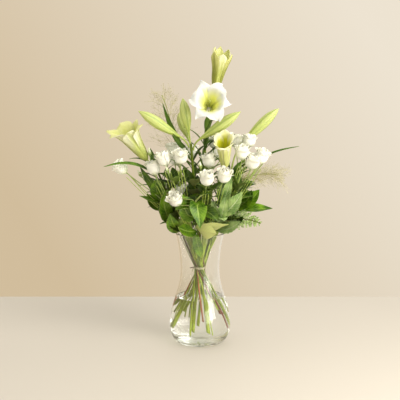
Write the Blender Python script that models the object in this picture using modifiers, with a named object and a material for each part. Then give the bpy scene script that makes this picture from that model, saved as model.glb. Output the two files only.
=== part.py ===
"""White lilies and lisianthus, hand-tied with greenery and standing in a glass vase of water.

Metres, +Z up. The origin is the centre of the vase's foot, on the surface that it stands on, and
-Y is the front of the bouquet. Every cut stem is a straight rod through the tie, and the stems
spiral round each other there as in a hand-tied bunch. The tie hangs inside the vase's neck, so
the points in the tables have their heights above the vase's rim. What grows on a stem is placed
from it.
"""

import math

import bmesh
import bpy
import numpy as np
from mathutils import Matrix, Vector

# Vase, all outside sizes but the wall and the floor
VASE_HEIGHT = 0.280
RIM_RADIUS = 0.0605
WAIST_RADIUS = 0.0488
NECK_LENGTH = 0.092
BELLY_RADIUS = 0.0762
BELLY_HEIGHT = 0.046
FOOT_RADIUS = 0.050
WALL = 0.003
FLOOR = 0.010
VASE_STEPS = 32
WALL_RINGS = 14
WATER_GAP = 0.0006

# Bunch
TIE_BELOW_RIM = 0.088
WATER_BELOW_TIE = 0.074
TWINE_RADIUS = 0.0011
TWINE_TURNS = 3
CLEARANCE = 0.0004
FOOT_CLEARANCE = 0.004
STEM_GAP = 0.0007
SPIRAL_LEAD = math.radians(90)
SPIRAL_PITCH = 0.026

# Flowers and leaves
BUD_RADIUS = 0.0135
BUD_PEDICEL = 0.0020
TRUMPET_WALL = 0.0012
TEPAL_THICKNESS = 0.0010
TEPAL_LENGTH = 0.104
TEPAL_SPREAD = 0.053
TEPAL_WIDTH = 0.038
BLOOM_RADIUS = 0.0165
BLOOM_LENGTH = 0.035
BLOOM_PEDICEL = 0.0011
LEAF_THICKNESS = 0.0008

# Where these put the waist, the tie and the water
WAIST_HEIGHT = VASE_HEIGHT - NECK_LENGTH
TIE_HEIGHT = VASE_HEIGHT - TIE_BELOW_RIM
WATER_LEVEL = TIE_HEIGHT - WATER_BELOW_TIE

# Each stem: its head, its radius at the tie, and points that it bends through past its head
STEMS = {
    "lily_stem_1": ((-0.022, -0.03, 0.227), 0.0033, ()),
    "lily_stem_2": ((0.016, 0.012, 0.276), 0.0034, ()),
    "lily_stem_3": ((-0.112, -0.02, 0.175), 0.0031, ()),
    "lily_stem_4": ((0.074, -0.028, 0.152), 0.0032, ()),
    "lisianthus_stem_1": ((-0.07, -0.03, 0.07), 0.0021, ()),
    "lisianthus_stem_2": ((-0.058, -0.045, 0.13), 0.0022, ()),
    "lisianthus_stem_3": ((0.02, -0.065, 0.112), 0.0022, ()),
    "lisianthus_stem_4": ((0.09, -0.045, 0.12), 0.0022, ()),
    "lisianthus_stem_5": ((0.005, 0.078, 0.13), 0.0022, ()),
    "salal_stem_1": ((-0.085, -0.006, 0.092), 0.002, ()),
    "salal_stem_2": ((0.086, 0.004, 0.092), 0.002, ()),
    "salal_stem_3": ((-0.012, -0.08, 0.09), 0.002, ()),
    "salal_stem_4": ((-0.03, 0.076, 0.082), 0.002, ()),
    "sage_stem": ((0.05, -0.058, 0.068), 0.0021, ()),
    "grass_stem_1": ((-0.066, 0.048, 0.24), 0.0012, ((-0.078, 0.058, 0.295), (-0.096, 0.066, 0.34))),
    "grass_stem_2": (
        (0.072, 0.056, 0.1), 0.0012,
        ((0.105, 0.058, 0.132), (0.15, 0.052, 0.148), (0.195, 0.044, 0.14)),
    ),
    "fern_stem": (
        (0.058, -0.012, 0.032), 0.0015,
        ((0.082, -0.03, 0.046), (0.115, -0.046, 0.047), (0.152, -0.056, 0.032)),
    ),
}

# Lily buds: the stem, the height where each leaves it, the bud's base and its tip
LILY_BUDS = {
    "lily_bud_1": ("lily_stem_1", 0.214, (-0.05, -0.046, 0.246), (-0.144, -0.062, 0.305)),
    "lily_bud_2": ("lily_stem_1", 0.225, (-0.027, -0.04, 0.255), (-0.041, -0.047, 0.334)),
    "lily_bud_3": ("lily_stem_1", 0.217, (-0.032, 0.02, 0.24), (-0.052, 0.04, 0.297)),
    "lily_bud_4": ("lily_stem_1", 0.207, (0.0, -0.052, 0.24), (0.094, -0.076, 0.304)),
    "lily_bud_5": ("lily_stem_4", 0.144, (0.106, 0.012, 0.226), (0.193, 0.01, 0.308)),
}

# Half-open lilies: the stem, the height where each leaves it, the middle of its mouth, the
# length of its bell and its mouth's radius
LILY_TRUMPETS = {
    "lily_trumpet_1": ("lily_stem_2", 0.266, (0.054, 0.002, 0.446), 0.096, 0.024),
    "lily_trumpet_2": ("lily_stem_3", 0.156, (-0.186, -0.048, 0.269), 0.104, 0.031),
    "lily_trumpet_3": ("lily_stem_4", 0.128, (0.055, -0.098, 0.244), 0.088, 0.027),
}

# The open lily: where it leaves its stem, its throat, the way it faces and its roll
OPEN_LILY = ("lily_stem_2", 0.25, (0.021, -0.010, 0.300), (0.03, -0.92, 0.39), math.radians(53))

# Lisianthus blooms: the stem, the height where each leaves it, its calyx and the way it faces
LISIANTHUS = {
    "lisianthus_bloom_1": ("lisianthus_stem_1", 0.06, (-0.179, -0.03, 0.154), (-0.75, 0.0, 0.66)),
    "lisianthus_bloom_2": ("lisianthus_stem_1", 0.066, (-0.107, -0.048, 0.15), (-0.25, -0.1, 0.96)),
    "lisianthus_bloom_3": ("lisianthus_stem_2", 0.115, (-0.08, -0.066, 0.175), (-0.25, -0.15, 0.95)),
    "lisianthus_bloom_4": ("lisianthus_stem_2", 0.123, (-0.046, -0.074, 0.18), (0.05, -0.2, 0.97)),
    "lisianthus_bloom_5": ("lisianthus_stem_2", 0.065, (-0.052, -0.092, 0.084), (-0.35, -0.5, 0.8)),
    "lisianthus_bloom_6": ("lisianthus_stem_3", 0.092, (0.014, -0.103, 0.131), (0.1, -0.25, 0.96)),
    "lisianthus_bloom_7": ("lisianthus_stem_3", 0.1, (0.054, -0.093, 0.139), (0.2, -0.3, 0.93)),
    "lisianthus_bloom_8": ("lisianthus_stem_3", 0.107, (0.023, -0.055, 0.168), (-0.08, -0.02, 1.0)),
    "lisianthus_bloom_9": ("lisianthus_stem_4", 0.106, (0.1, -0.06, 0.188), (0.0, -0.15, 0.98)),
    "lisianthus_bloom_10": ("lisianthus_stem_4", 0.115, (0.116, -0.022, 0.212), (0.15, 0.05, 0.98)),
    "lisianthus_bloom_11": ("lisianthus_stem_4", 0.098, (0.143, -0.05, 0.179), (0.4, 0.0, 0.92)),
    "lisianthus_bloom_12": ("lisianthus_stem_5", 0.115, (-0.018, 0.104, 0.172), (-0.2, 0.4, 0.9)),
    "lisianthus_bloom_13": ("lisianthus_stem_5", 0.122, (0.04, 0.098, 0.17), (0.3, 0.35, 0.9)),
}

# Leaves: the stem, the height where each leaves it, a point its spine is drawn towards, its tip,
# its width, the way its upper side faces, and how far along its spine it is widest
LEAVES = {
    "salal_leaf_1": (
        "salal_stem_2", 0.07, (0.11, -0.01, 0.065), (0.145, -0.026, 0.113), 0.042,
        (-0.2, -0.9, 0.3), 0.6,
    ),
    "salal_leaf_2": (
        "salal_stem_2", 0.055, (0.12, -0.022, 0.065), (0.178, -0.03, 0.066), 0.03,
        (0.1, -0.55, 0.8), 0.6,
    ),
    "salal_leaf_3": (
        "salal_stem_3", 0.082, (-0.004, -0.108, 0.102), (0.0, -0.122, 0.033), 0.042,
        (0.0, -0.9, 0.4), 0.55,
    ),
    "salal_leaf_4": (
        "salal_stem_3", 0.026, (0.01, -0.092, 0.02), (0.07, -0.08, 0.036), 0.034, (0.1, 0.8, 0.6),
        0.5,
    ),
    "salal_leaf_5": (
        "salal_stem_1", 0.042, (-0.094, -0.072, 0.042), (-0.083, -0.082, 0.118), 0.036,
        (0.3, -0.9, 0.2), 0.55,
    ),
    "salal_leaf_6": (
        "salal_stem_1", 0.076, (-0.11, -0.03, 0.08), (-0.148, -0.04, 0.099), 0.022,
        (0.0, -0.4, 0.9), 0.55,
    ),
    "salal_leaf_7": (
        "salal_stem_4", 0.065, (-0.06, 0.105, 0.082), (-0.1, 0.118, 0.072), 0.04, (-0.3, 0.5, 0.8),
        0.55,
    ),
    "salal_leaf_8": (
        "salal_stem_4", 0.075, (-0.006, 0.112, 0.095), (0.03, 0.136, 0.082), 0.04, (0.2, 0.5, 0.8),
        0.55,
    ),
    "sage_leaf": (
        "sage_stem", 0.056, (0.072, -0.086, 0.068), (0.1, -0.096, 0.118), 0.036, (-0.3, -0.9, 0.2),
        0.55,
    ),
    "lily_leaf_1": (
        "lily_stem_4", 0.125, (0.15, 0.05, 0.198), (0.246, 0.016, 0.214), 0.015, (-0.2, -0.2, 1.0),
        0.45,
    ),
    "lily_leaf_2": (
        "lily_stem_3", 0.145, (-0.16, -0.046, 0.196), (-0.23, -0.068, 0.173), 0.014,
        (-0.1, -0.5, 0.9), 0.45,
    ),
    "lily_leaf_3": (
        "lily_stem_1", 0.19, (-0.066, -0.004, 0.24), (-0.091, 0.0, 0.322), 0.016,
        (-0.6, -0.7, 0.3), 0.5,
    ),
}

# Colour, roughness, metallic
PAINTS = {
    "clear_glass": ((0.92, 0.95, 0.93, 0.35), 0.02, 0.0),
    "water": ((0.86, 0.92, 0.90, 0.35), 0.02, 0.0),
    "twine": ((0.62, 0.58, 0.40, 1.0), 0.9, 0.0),
    "green_stem": ((0.30, 0.42, 0.10, 1.0), 0.5, 0.0),
    "woody_stem": ((0.26, 0.12, 0.06, 1.0), 0.7, 0.0),
    "lily_bud": ((0.62, 0.70, 0.26, 1.0), 0.45, 0.0),
    "lily_petal": ((0.93, 0.94, 0.84, 1.0), 0.5, 0.0),
    "lisianthus_petal": ((0.93, 0.92, 0.88, 1.0), 0.6, 0.0),
    "broad_leaf": ((0.12, 0.26, 0.05, 1.0), 0.4, 0.0),
    "lily_leaf": ((0.10, 0.22, 0.05, 1.0), 0.45, 0.0),
    "sage_leaf": ((0.42, 0.52, 0.40, 1.0), 0.8, 0.0),
    "grass": ((0.62, 0.60, 0.36, 1.0), 0.8, 0.0),
}


def clear_scene():
    for thing in list(bpy.data.objects):
        bpy.data.objects.remove(thing)


def material(name):
    paint = bpy.data.materials.get(name)
    if paint is None:
        colour, roughness, metallic = PAINTS[name]
        paint = bpy.data.materials.new(name)
        paint.use_nodes = True
        surface = paint.node_tree.nodes["Principled BSDF"]
        surface.inputs["Base Color"].default_value = colour
        surface.inputs["Alpha"].default_value = colour[3]
        surface.inputs["Roughness"].default_value = roughness
        surface.inputs["Metallic"].default_value = metallic
    return paint


def add(name, data, paint, collection="lilies_in_vase"):
    """A new object with this mesh or curve, in its collection."""
    if collection not in bpy.data.collections:
        bpy.context.scene.collection.children.link(bpy.data.collections.new(collection))
    thing = bpy.data.objects.new(name, data)
    bpy.data.collections[collection].objects.link(thing)
    data.materials.append(material(paint))
    return thing


def tube(name, points, radii, paint, sides=8):
    """A round rod through the points, with its own radius at each."""
    curve = bpy.data.curves.new(name, "CURVE")
    curve.dimensions = "3D"
    curve.bevel_depth = max(radii)
    curve.bevel_resolution = sides // 2 - 2
    curve.use_fill_caps = True
    spline = curve.splines.new("POLY")
    spline.points.add(len(points) - 1)
    for place, point, radius in zip(spline.points, points, radii):
        place.co = (*point, 1.0)
        place.radius = radius / max(radii)
    return add(name, curve, paint)


def turned(name, profile, paint, steps, place=Matrix.Identity(4)):
    """A profile of (radius, height) pairs turned round the Z axis and put in its place.

    The profile runs down its outer side, top to bottom.
    """
    mesh = bpy.data.meshes.new(name)
    edges = [(i, i + 1) for i in range(len(profile) - 1)]
    mesh.from_pydata([(radius, 0.0, height) for radius, height in profile], edges, [])
    thing = add(name, mesh, paint)
    thing.matrix_world = place
    screw = thing.modifiers.new("turn", "SCREW")
    screw.steps = steps
    screw.render_steps = steps
    screw.use_merge_vertices = True
    screw.merge_threshold = 0.00005
    screw.use_smooth_shade = True
    return thing


def standing(point, direction):
    """The placing that puts local +Z along the direction, from the point."""
    turn = Vector(direction).to_track_quat("Z", "Y").to_matrix().to_4x4()
    return Matrix.Translation(point) @ turn


def above_rim(point):
    """A point whose height is given above the vase's rim."""
    return Vector(point) + Vector((0, 0, VASE_HEIGHT))


def bezier(points, count):
    """Evenly spaced parameters on the Bezier curve with these control points."""
    control = np.array([tuple(point) for point in points])
    order = len(control) - 1
    share = np.linspace(0, 1, count)[:, None]
    parts = [
        math.comb(order, i) * share**i * (1 - share) ** (order - i) * control[i]
        for i in range(order + 1)
    ]
    return [Vector(point) for point in sum(parts)]


# ---- vase and water -------------------------------------------------------------------------


def vase_radius(height, inset=0.0):
    """The vase's outer radius at a height, less an inset: a round foot, a cosine waist, a flare."""
    floor = FLOOR if inset else 0.0
    foot, belly = FOOT_RADIUS - inset, BELLY_RADIUS - inset
    waist, rim = WAIST_RADIUS - inset, RIM_RADIUS - inset
    if height <= BELLY_HEIGHT:
        share = (BELLY_HEIGHT - height) / (BELLY_HEIGHT - floor)
        return foot + (belly - foot) * math.sqrt(max(0.0, 1 - share**2))
    if height <= WAIST_HEIGHT:
        share = (height - BELLY_HEIGHT) / (WAIST_HEIGHT - BELLY_HEIGHT)
        return waist + (belly - waist) * (1 + math.cos(math.pi * share)) / 2
    share = (height - WAIST_HEIGHT) / (VASE_HEIGHT - WAIST_HEIGHT)
    return waist + (rim - waist) * share**2


def wall_heights(low, high, count):
    """Heights up a wall, closest together at the rounded foot."""
    return [low + (high - low) * (i / (count - 1)) ** 1.6 for i in range(count)]


def make_vase():
    inner = [(vase_radius(z, WALL), z) for z in wall_heights(FLOOR, VASE_HEIGHT, WALL_RINGS)]
    outer = [(vase_radius(z), z) for z in reversed(wall_heights(0.0, VASE_HEIGHT, WALL_RINGS + 1))]
    # The lip is drawn up to a rounded top between the two walls
    lip = [(RIM_RADIUS - WALL / 2, VASE_HEIGHT + WALL / 3)]
    turned("vase", [(0.0, FLOOR), *inner, *lip, *outer, (0.0, 0.0)], "clear_glass", VASE_STEPS)


def make_water(bunch):
    """The water fills the vase to its level, with a hole round each stem."""
    heights = [z for z in wall_heights(FLOOR, VASE_HEIGHT, WALL_RINGS) if z < WATER_LEVEL]
    side = [(vase_radius(z, WALL) - WATER_GAP, z + WATER_GAP) for z in reversed(heights)]
    top = vase_radius(WATER_LEVEL, WALL) - WATER_GAP
    profile = [(0.0, WATER_LEVEL), (top, WATER_LEVEL), *side, (0.0, FLOOR + WATER_GAP)]
    water = turned("water", profile, "water", VASE_STEPS)
    for name, stem in bunch.items():
        cutter = hole_round(name, stem)
        cut = water.modifiers.new(name, "BOOLEAN")
        cut.operation = "DIFFERENCE"
        cut.object = cutter


def hole_round(name, stem):
    """A cutter a little larger than the part of a stem that is under water."""
    low = stem["foot"]
    high = at_height(stem, WATER_LEVEL + FLOOR)
    axis = (high - low).normalized()
    low = low - axis * CLEARANCE
    mesh = bpy.data.meshes.new(name + "_hole")
    shape = bmesh.new()
    bmesh.ops.create_cone(
        shape,
        cap_ends=True,
        segments=8,
        radius1=stem["radius"] + 2 * CLEARANCE,
        radius2=stem["radius"] + 2 * CLEARANCE,
        depth=(high - low).length,
    )
    shape.to_mesh(mesh)
    shape.free()
    cutter = add(name + "_hole", mesh, "water", "cutters")
    cutter.matrix_world = standing((low + high) / 2, axis)
    cutter.hide_render = True
    cutter.display_type = "WIRE"
    return cutter


# ---- stems and tie --------------------------------------------------------------------------


def nearest(start, rise, low, high, one, other):
    """Height offsets where each pair of straight stems comes closest, within their lengths."""
    apart = start[one] - start[other]
    u, v = rise[one], rise[other]
    uu, uv, vv = (u * u).sum(1), (u * v).sum(1), (v * v).sum(1)
    ua, va = (u * apart).sum(1), (v * apart).sum(1)
    cross = np.maximum(uu * vv - uv * uv, 1e-9)
    s = np.clip((uv * va - vv * ua) / cross, low, high[one])
    t = np.clip((va + uv * s) / vv, low, high[other])
    return np.clip((uv * t - ua) / uu, low, high[one]), t


def gather(stems, rounds=1200, give=0.3):
    """Where each stem passes the tie.

    They start as a spiral, each a quarter turn ahead of its head, and are then pushed apart until
    no two touch.
    """
    heads = np.array([above_rim(head) for head, _, _ in stems.values()])
    radii = np.array([radius for _, radius, _ in stems.values()])
    reach = heads[:, 2] - TIE_HEIGHT
    lean = np.hypot(heads[:, 0], heads[:, 1]) / reach
    turn = np.arctan2(heads[:, 1], heads[:, 0]) + SPIRAL_LEAD
    waist = np.stack([np.cos(turn), np.sin(turn)], axis=1) * (lean * SPIRAL_PITCH)[:, None]
    one, other = np.triu_indices(len(heads), 1)
    need = radii[one] + radii[other] + STEM_GAP
    for _ in range(rounds):
        start = np.column_stack([waist, np.full(len(heads), TIE_HEIGHT)])
        rise = (heads - start) / reach[:, None]
        s, t = nearest(start, rise, FLOOR - TIE_HEIGHT, reach, one, other)
        between = start[one] + rise[one] * s[:, None] - start[other] - rise[other] * t[:, None]
        lack = np.maximum(need - np.linalg.norm(between, axis=1), 0)
        flat = between[:, :2] / np.maximum(np.linalg.norm(between[:, :2], axis=1), 1e-6)[:, None]
        push = flat * (lack * give)[:, None]
        np.add.at(waist, one, push * np.clip(1 - s / reach[one], 0.2, 2)[:, None])
        np.add.at(waist, other, -push * np.clip(1 - t / reach[other], 0.2, 2)[:, None])
        waist *= 0.9995
    return {name: Vector((*place, TIE_HEIGHT)) for name, place in zip(stems, waist)}


def at_height(stem, height):
    """The point on a straight stem at a height."""
    rise = (stem["head"] - stem["waist"]) / (stem["head"].z - TIE_HEIGHT)
    return stem["waist"] + rise * (height - TIE_HEIGHT)


def foot_of(stem, order):
    """Where a stem ends: just off the vase's wall or above its floor, each cut at its own length."""
    lowest = FLOOR + FOOT_CLEARANCE + stem["radius"] + 0.011 * ((order * 0.618) % 1)
    height = TIE_HEIGHT
    while height > lowest:
        point = at_height(stem, height - 0.001)
        room = vase_radius(height - 0.001, WALL) - math.hypot(point.x, point.y) - stem["radius"]
        if room < FOOT_CLEARANCE:
            break
        height -= 0.001
    return at_height(stem, height)


def make_bunch():
    """The stems, and for each its head, its place at the tie, its foot and its radius."""
    waists = gather(STEMS)
    bunch = {}
    for order, (name, (head, radius, beyond)) in enumerate(STEMS.items()):
        stem = {"head": above_rim(head), "waist": waists[name], "radius": radius}
        stem["foot"] = foot_of(stem, order)
        bunch[name] = stem
        points = [stem["foot"], stem["head"]]
        radii = [radius, radius]
        if beyond:
            tip = stem["head"].z + 0.004
            path = bezier([at_height(stem, tip), *map(above_rim, beyond)], 7)
            points += path
            radii += [radius * (1 - 0.1 * i) for i in range(1, len(path) + 1)]
        paints = {"salal": "woody_stem", "grass": "grass"}
        tube(name, points, radii, paints.get(name.split("_")[0], "green_stem"))
    return bunch


def make_tie(bunch):
    """Turns of twine, modelled as one band that just clears the bunch."""
    half = TWINE_TURNS * TWINE_RADIUS
    levels = (TIE_HEIGHT - half, TIE_HEIGHT, TIE_HEIGHT + half)
    bundle = max(
        math.hypot(*at_height(stem, level).xy) + stem["radius"] * 1.1
        for stem in bunch.values()
        for level in levels
    )
    inner = bundle + CLEARANCE
    outer = inner + 2 * TWINE_RADIUS
    round_off = TWINE_RADIUS / 2
    profile = [
        (inner, TIE_HEIGHT + half - round_off),
        (inner + round_off, TIE_HEIGHT + half),
        (outer - round_off, TIE_HEIGHT + half),
        (outer, TIE_HEIGHT + half - round_off),
        (outer, TIE_HEIGHT - half + round_off),
        (outer - round_off, TIE_HEIGHT - half),
        (inner + round_off, TIE_HEIGHT - half),
        (inner, TIE_HEIGHT - half + round_off),
    ]
    turned("twine_tie", [*profile, profile[0]], "twine", 24)


# ---- what grows on the stems ----------------------------------------------------------------


def beside(stem, height, towards, radius):
    """The start of something of this radius that leaves a stem on the side of a point."""
    axis = (stem["head"] - stem["foot"]).normalized()
    root = at_height(stem, VASE_HEIGHT + height)
    way = towards - root
    out = (way - axis * way.dot(axis)).normalized()
    return root + out * (stem["radius"] + radius + CLEARANCE), axis


def pedicel(stem, height, base, facing, radius, count=6):
    """Points from a stem to a flower's base, arriving along the way that the flower faces."""
    start, axis = beside(stem, height, base, radius)
    span = (base - start).length
    arrive = base - facing.normalized() * span * 0.35
    return bezier([start, start + axis * span * 0.25, arrive, base], count)


def swollen(name, path, thin, axis, shape, paint, sides):
    """A thin stalk that ends in a body: shape lists (share of the axis, radius)."""
    points = list(path[:-1]) + [path[-1] + axis * share for share, _ in shape]
    radii = [thin] * (len(path) - 1) + [radius for _, radius in shape]
    return tube(name, points, radii, paint, sides)


def make_bud(name, bunch, stem, height, base, tip):
    base, tip = above_rim(base), above_rim(tip)
    path = pedicel(bunch[stem], height, base, tip - base, BUD_PEDICEL)
    shape = [(0, 0.18), (0.1, 0.36), (0.25, 0.66), (0.42, 0.90), (0.58, 1.0), (0.74, 0.92)]
    shape += [(0.87, 0.66), (0.96, 0.34), (1.0, 0.12)]
    scaled = [(share, BUD_RADIUS * radius) for share, radius in shape]
    swollen(name, path, BUD_PEDICEL, tip - base, scaled, "lily_bud", 12)


def make_trumpet(name, bunch, stem, height, mouth, bell, lip_radius):
    """A half-open lily: one straight stalk and bell, turned, and hollow down to its throat."""
    mouth = above_rim(mouth)
    start, _ = beside(bunch[stem], height, mouth, BUD_PEDICEL)
    way = mouth - start
    throat = way.length - bell
    swell = [(0.0, 0.0), (0.08, 0.22), (0.25, 0.42), (0.5, 0.56), (0.75, 0.74), (0.9, 0.88), (1.0, 1.0)]
    outer = [(BUD_PEDICEL + (lip_radius - BUD_PEDICEL) * r, throat + bell * s) for s, r in swell]
    inner = [(radius - TRUMPET_WALL, z + TRUMPET_WALL / 2) for radius, z in outer[1:]]
    stalk = [(BUD_PEDICEL, 0.0), (0.0, 0.0)]
    profile = [(0.0, inner[0][1]), *inner, *reversed(outer), *stalk]
    turned(name, profile, "lily_petal", 14, standing(start, way))


def tepal_line(share):
    """How far out and how far along the flower's axis a tepal is, as shares of its sizes."""
    out = 0.075 + 0.10 * share + 0.825 * share**2.6
    along = math.sin(min(share * 1.18, 1.0) * math.pi / 2) - 0.10 * max(0.0, share - 0.8)
    return out, along


def make_open_lily(bunch):
    stem, height, base, facing, roll = OPEN_LILY
    base, facing = above_rim(base), Vector(facing).normalized()
    path = pedicel(bunch[stem], height, base, facing, BUD_PEDICEL)
    pistil = [(0, BUD_PEDICEL), (0.05, 0.0014), (0.7, 0.0012), (0.74, 0.0022), (0.77, 0.0022)]
    swollen("lily_pistil", path, BUD_PEDICEL, facing * TEPAL_LENGTH, pistil, "green_stem", 8)
    for number in range(6):
        place = standing(base, facing) @ Matrix.Rotation(roll + number * math.pi / 3, 4, "Z")
        make_tepal(f"lily_petal_{number + 1}", place)


def make_tepal(name, place):
    """One of six tepals: a strip wrapped round the flower's axis, which flares to a point."""
    rows, columns = 9, 4
    mesh = bpy.data.meshes.new(name)
    shape = bmesh.new()
    bmesh.ops.create_grid(shape, x_segments=rows, y_segments=columns, size=0.5)
    for vertex in shape.verts:
        share, across = vertex.co.x + 0.5, vertex.co.y * 2
        out, along = tepal_line(share)
        out *= TEPAL_SPREAD
        half = TEPAL_WIDTH / 2 * math.sin(math.pi * (0.10 + 0.88 * share)) ** 0.75
        angle = across * min(half / out, 0.44)
        vertex.co = (
            out * math.cos(angle),
            out * math.sin(angle),
            TEPAL_LENGTH * (0.04 + 0.86 * along),
        )
    shape.to_mesh(mesh)
    shape.free()
    tepal = add(name, mesh, "lily_petal")
    tepal.matrix_world = place
    thicken(tepal, TEPAL_THICKNESS)


def thicken(thing, thickness):
    """Gives a sheet its thickness, half on each side."""
    wall = thing.modifiers.new("thickness", "SOLIDIFY")
    wall.thickness = thickness
    wall.offset = 0.0
    wall.use_even_offset = False


def make_bloom(name, bunch, stem, height, base, facing):
    """A lisianthus bloom: a calyx that opens into a plump cup of petals."""
    way = Vector(facing).normalized()
    path = pedicel(bunch[stem], height, above_rim(base), way, BLOOM_PEDICEL)
    shape = [(0, 0.12), (0.08, 0.34), (0.25, 0.70), (0.48, 0.96), (0.72, 1.0), (0.9, 0.84), (1.0, 0.5)]
    scaled = [(share, BLOOM_RADIUS * radius) for share, radius in shape]
    swollen(name, path, BLOOM_PEDICEL, way * BLOOM_LENGTH, scaled, "lisianthus_petal", 10)


def make_leaf(name, bunch, stem, height, drawn, tip, width, facing, widest):
    """A leaf from a stem to its tip, widest part-way, with its sides folded up a little."""
    stalk = 0.0009
    drawn, tip = above_rim(drawn), above_rim(tip)
    start, _ = beside(bunch[stem], height, drawn, stalk * 2)
    rows, columns = 9, 4
    spine = bezier([start, drawn, tip], rows + 1)
    mesh = bpy.data.meshes.new(name)
    shape = bmesh.new()
    bmesh.ops.create_grid(shape, x_segments=rows, y_segments=columns, size=0.5)
    power = math.log(0.5) / math.log(widest)
    for vertex in shape.verts:
        row = round((vertex.co.x + 0.5) * rows)
        across = vertex.co.y * 2
        along = (spine[min(row + 1, rows)] - spine[max(row - 1, 0)]).normalized()
        side = along.cross(Vector(facing)).normalized()
        up = side.cross(along)
        half = max(width / 2 * math.sin(math.pi * (row / rows) ** power), stalk)
        vertex.co = spine[row] + side * across * half + up * abs(across) * half * 0.25
    shape.to_mesh(mesh)
    shape.free()
    paints = {"sage": "sage_leaf", "lily": "lily_leaf", "salal": "broad_leaf"}
    thicken(add(name, mesh, paints[name.split("_")[0]]), LEAF_THICKNESS)


def main():
    clear_scene()
    bunch = make_bunch()
    make_vase()
    make_water(bunch)
    make_tie(bunch)
    for name, facts in LILY_BUDS.items():
        make_bud(name, bunch, *facts)
    for name, facts in LILY_TRUMPETS.items():
        make_trumpet(name, bunch, *facts)
    make_open_lily(bunch)
    for name, facts in LISIANTHUS.items():
        make_bloom(name, bunch, *facts)
    for name, facts in LEAVES.items():
        make_leaf(name, bunch, *facts)


main()
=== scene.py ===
"""The finished look of white lilies and lisianthus, hand-tied and standing in a glass vase.

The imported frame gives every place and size. Each stem, bud, bloom and leaf is found by walking
along its CAD solid, and is grown again there as a fine surface. The finer growth that the solids
leave out, such as small leaves, grass plumes and fern leaflets, is placed from the same stems.
"""

import math

import bpy
import numpy as np
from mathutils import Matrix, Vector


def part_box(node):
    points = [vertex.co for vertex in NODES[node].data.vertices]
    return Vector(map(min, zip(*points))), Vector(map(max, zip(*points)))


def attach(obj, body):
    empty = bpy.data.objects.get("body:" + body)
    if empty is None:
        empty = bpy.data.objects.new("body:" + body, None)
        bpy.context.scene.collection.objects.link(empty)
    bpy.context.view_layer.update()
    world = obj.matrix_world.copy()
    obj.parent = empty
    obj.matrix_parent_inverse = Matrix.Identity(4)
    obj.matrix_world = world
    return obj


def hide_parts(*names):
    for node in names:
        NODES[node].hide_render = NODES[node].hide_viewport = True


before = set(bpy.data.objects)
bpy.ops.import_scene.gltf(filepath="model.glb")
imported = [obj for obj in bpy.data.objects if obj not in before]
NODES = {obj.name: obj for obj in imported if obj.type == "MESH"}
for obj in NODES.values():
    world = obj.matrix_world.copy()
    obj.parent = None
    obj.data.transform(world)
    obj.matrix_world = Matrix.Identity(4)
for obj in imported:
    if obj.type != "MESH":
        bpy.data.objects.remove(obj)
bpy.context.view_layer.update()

bl_info = {
    "name": "Lilies in a vase",
    "version": (1, 0, 0),
    "blender": (4, 5, 0),
    "location": "View3D > Sidebar > Bouquet",
    "description": "Grows a hand-tied bunch of lilies and lisianthus in its glass vase",
    "category": "Add Mesh",
}

UP = np.array([0.0, 0.0, 1.0])
TURN = 2 * math.pi
# Turned on by this, each branch or shoot of a row stands clear of the ones before it
GOLDEN_ANGLE = 2.39996
# Stepped by this share, the tones of a row of copies differ from their neighbours'
TONE_STEP = 0.618
# The radius at which a turned surface ends at its axis, before a cap closes it
POLE = 1e-5


def colour_choice(name, description, default):
    """A colour that the user may change."""
    return bpy.props.FloatVectorProperty(
        name=name, description=description, default=default, subtype="COLOR",
    )


def length_choice(name, description, default):
    """A length in metres that the user may change."""
    return bpy.props.FloatProperty(name=name, description=description, default=default, unit="LENGTH")


def power_choice(name, description, default):
    """A lamp's power in watts that the user may change."""
    return bpy.props.FloatProperty(name=name, description=description, default=default, unit="POWER")


def nodes_named(start):
    """The CAD nodes whose names start so, in the order of the numbers that end them."""
    return sorted((n for n in NODES if n.startswith(start)), key=lambda n: (len(n), n))


# ---- reading the CAD solids ------------------------------------------------------------------


def unit(vectors):
    """The vectors at length one."""
    return vectors / np.maximum(np.linalg.norm(vectors, axis=-1, keepdims=True), 1e-12)


def solid(node):
    """A CAD node's corners, and the pair of corners that each of its edges joins."""
    mesh = NODES[node].data
    points = np.empty(len(mesh.vertices) * 3)
    mesh.vertices.foreach_get("co", points)
    edges = np.empty(len(mesh.edges) * 2, int)
    mesh.edges.foreach_get("vertices", edges)
    return points.reshape(-1, 3), edges.reshape(-1, 2)


def cut(points, edges, at, way, reach):
    """Where the plane through a point, square to a way, crosses the edges within reach of it."""
    side = (points - at) @ way
    one, two = side[edges[:, 0]], side[edges[:, 1]]
    crossing = one * two < 0
    share = (one[crossing] / (one - two)[crossing])[:, None]
    start, end = points[edges[crossing, 0]], points[edges[crossing, 1]]
    found = start + (end - start) * share
    return found[np.linalg.norm(found - at, axis=1) < reach]


def setting_out(points, corner, near):
    """The middle of the ring of corners round one corner, and the way to the next ring."""
    distinct = np.unique(np.round(points, 6), axis=0)
    apart = np.linalg.norm(distinct - corner, axis=1)
    ring = distinct[apart < near].mean(axis=0)
    beyond = distinct[apart >= near]
    nearest = np.argsort(np.linalg.norm(beyond - ring, axis=1))[:8]
    return ring, unit(beyond[nearest].mean(axis=0) - ring)


def across_cut(found):
    """A cut's middle, half-width, widest direction, and the way that its own middle dips."""
    middle = found.mean(axis=0)
    spread = np.linalg.svd(found - middle, full_matrices=False)[2][0]
    across = (found - middle) @ spread
    middle = middle + spread * (across.max() + across.min()) / 2
    half = (across.max() - across.min()) / 2
    inner = found[np.abs((found - middle) @ spread) < half * 0.4]
    dip = middle - (inner.mean(axis=0) if len(inner) else middle)
    return middle, half, dip


# Where a walk ends if nothing else ends it, and the fewest edges that a real cut crosses
MOST_STEPS = 400
FEWEST_CROSSED = 5


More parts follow.
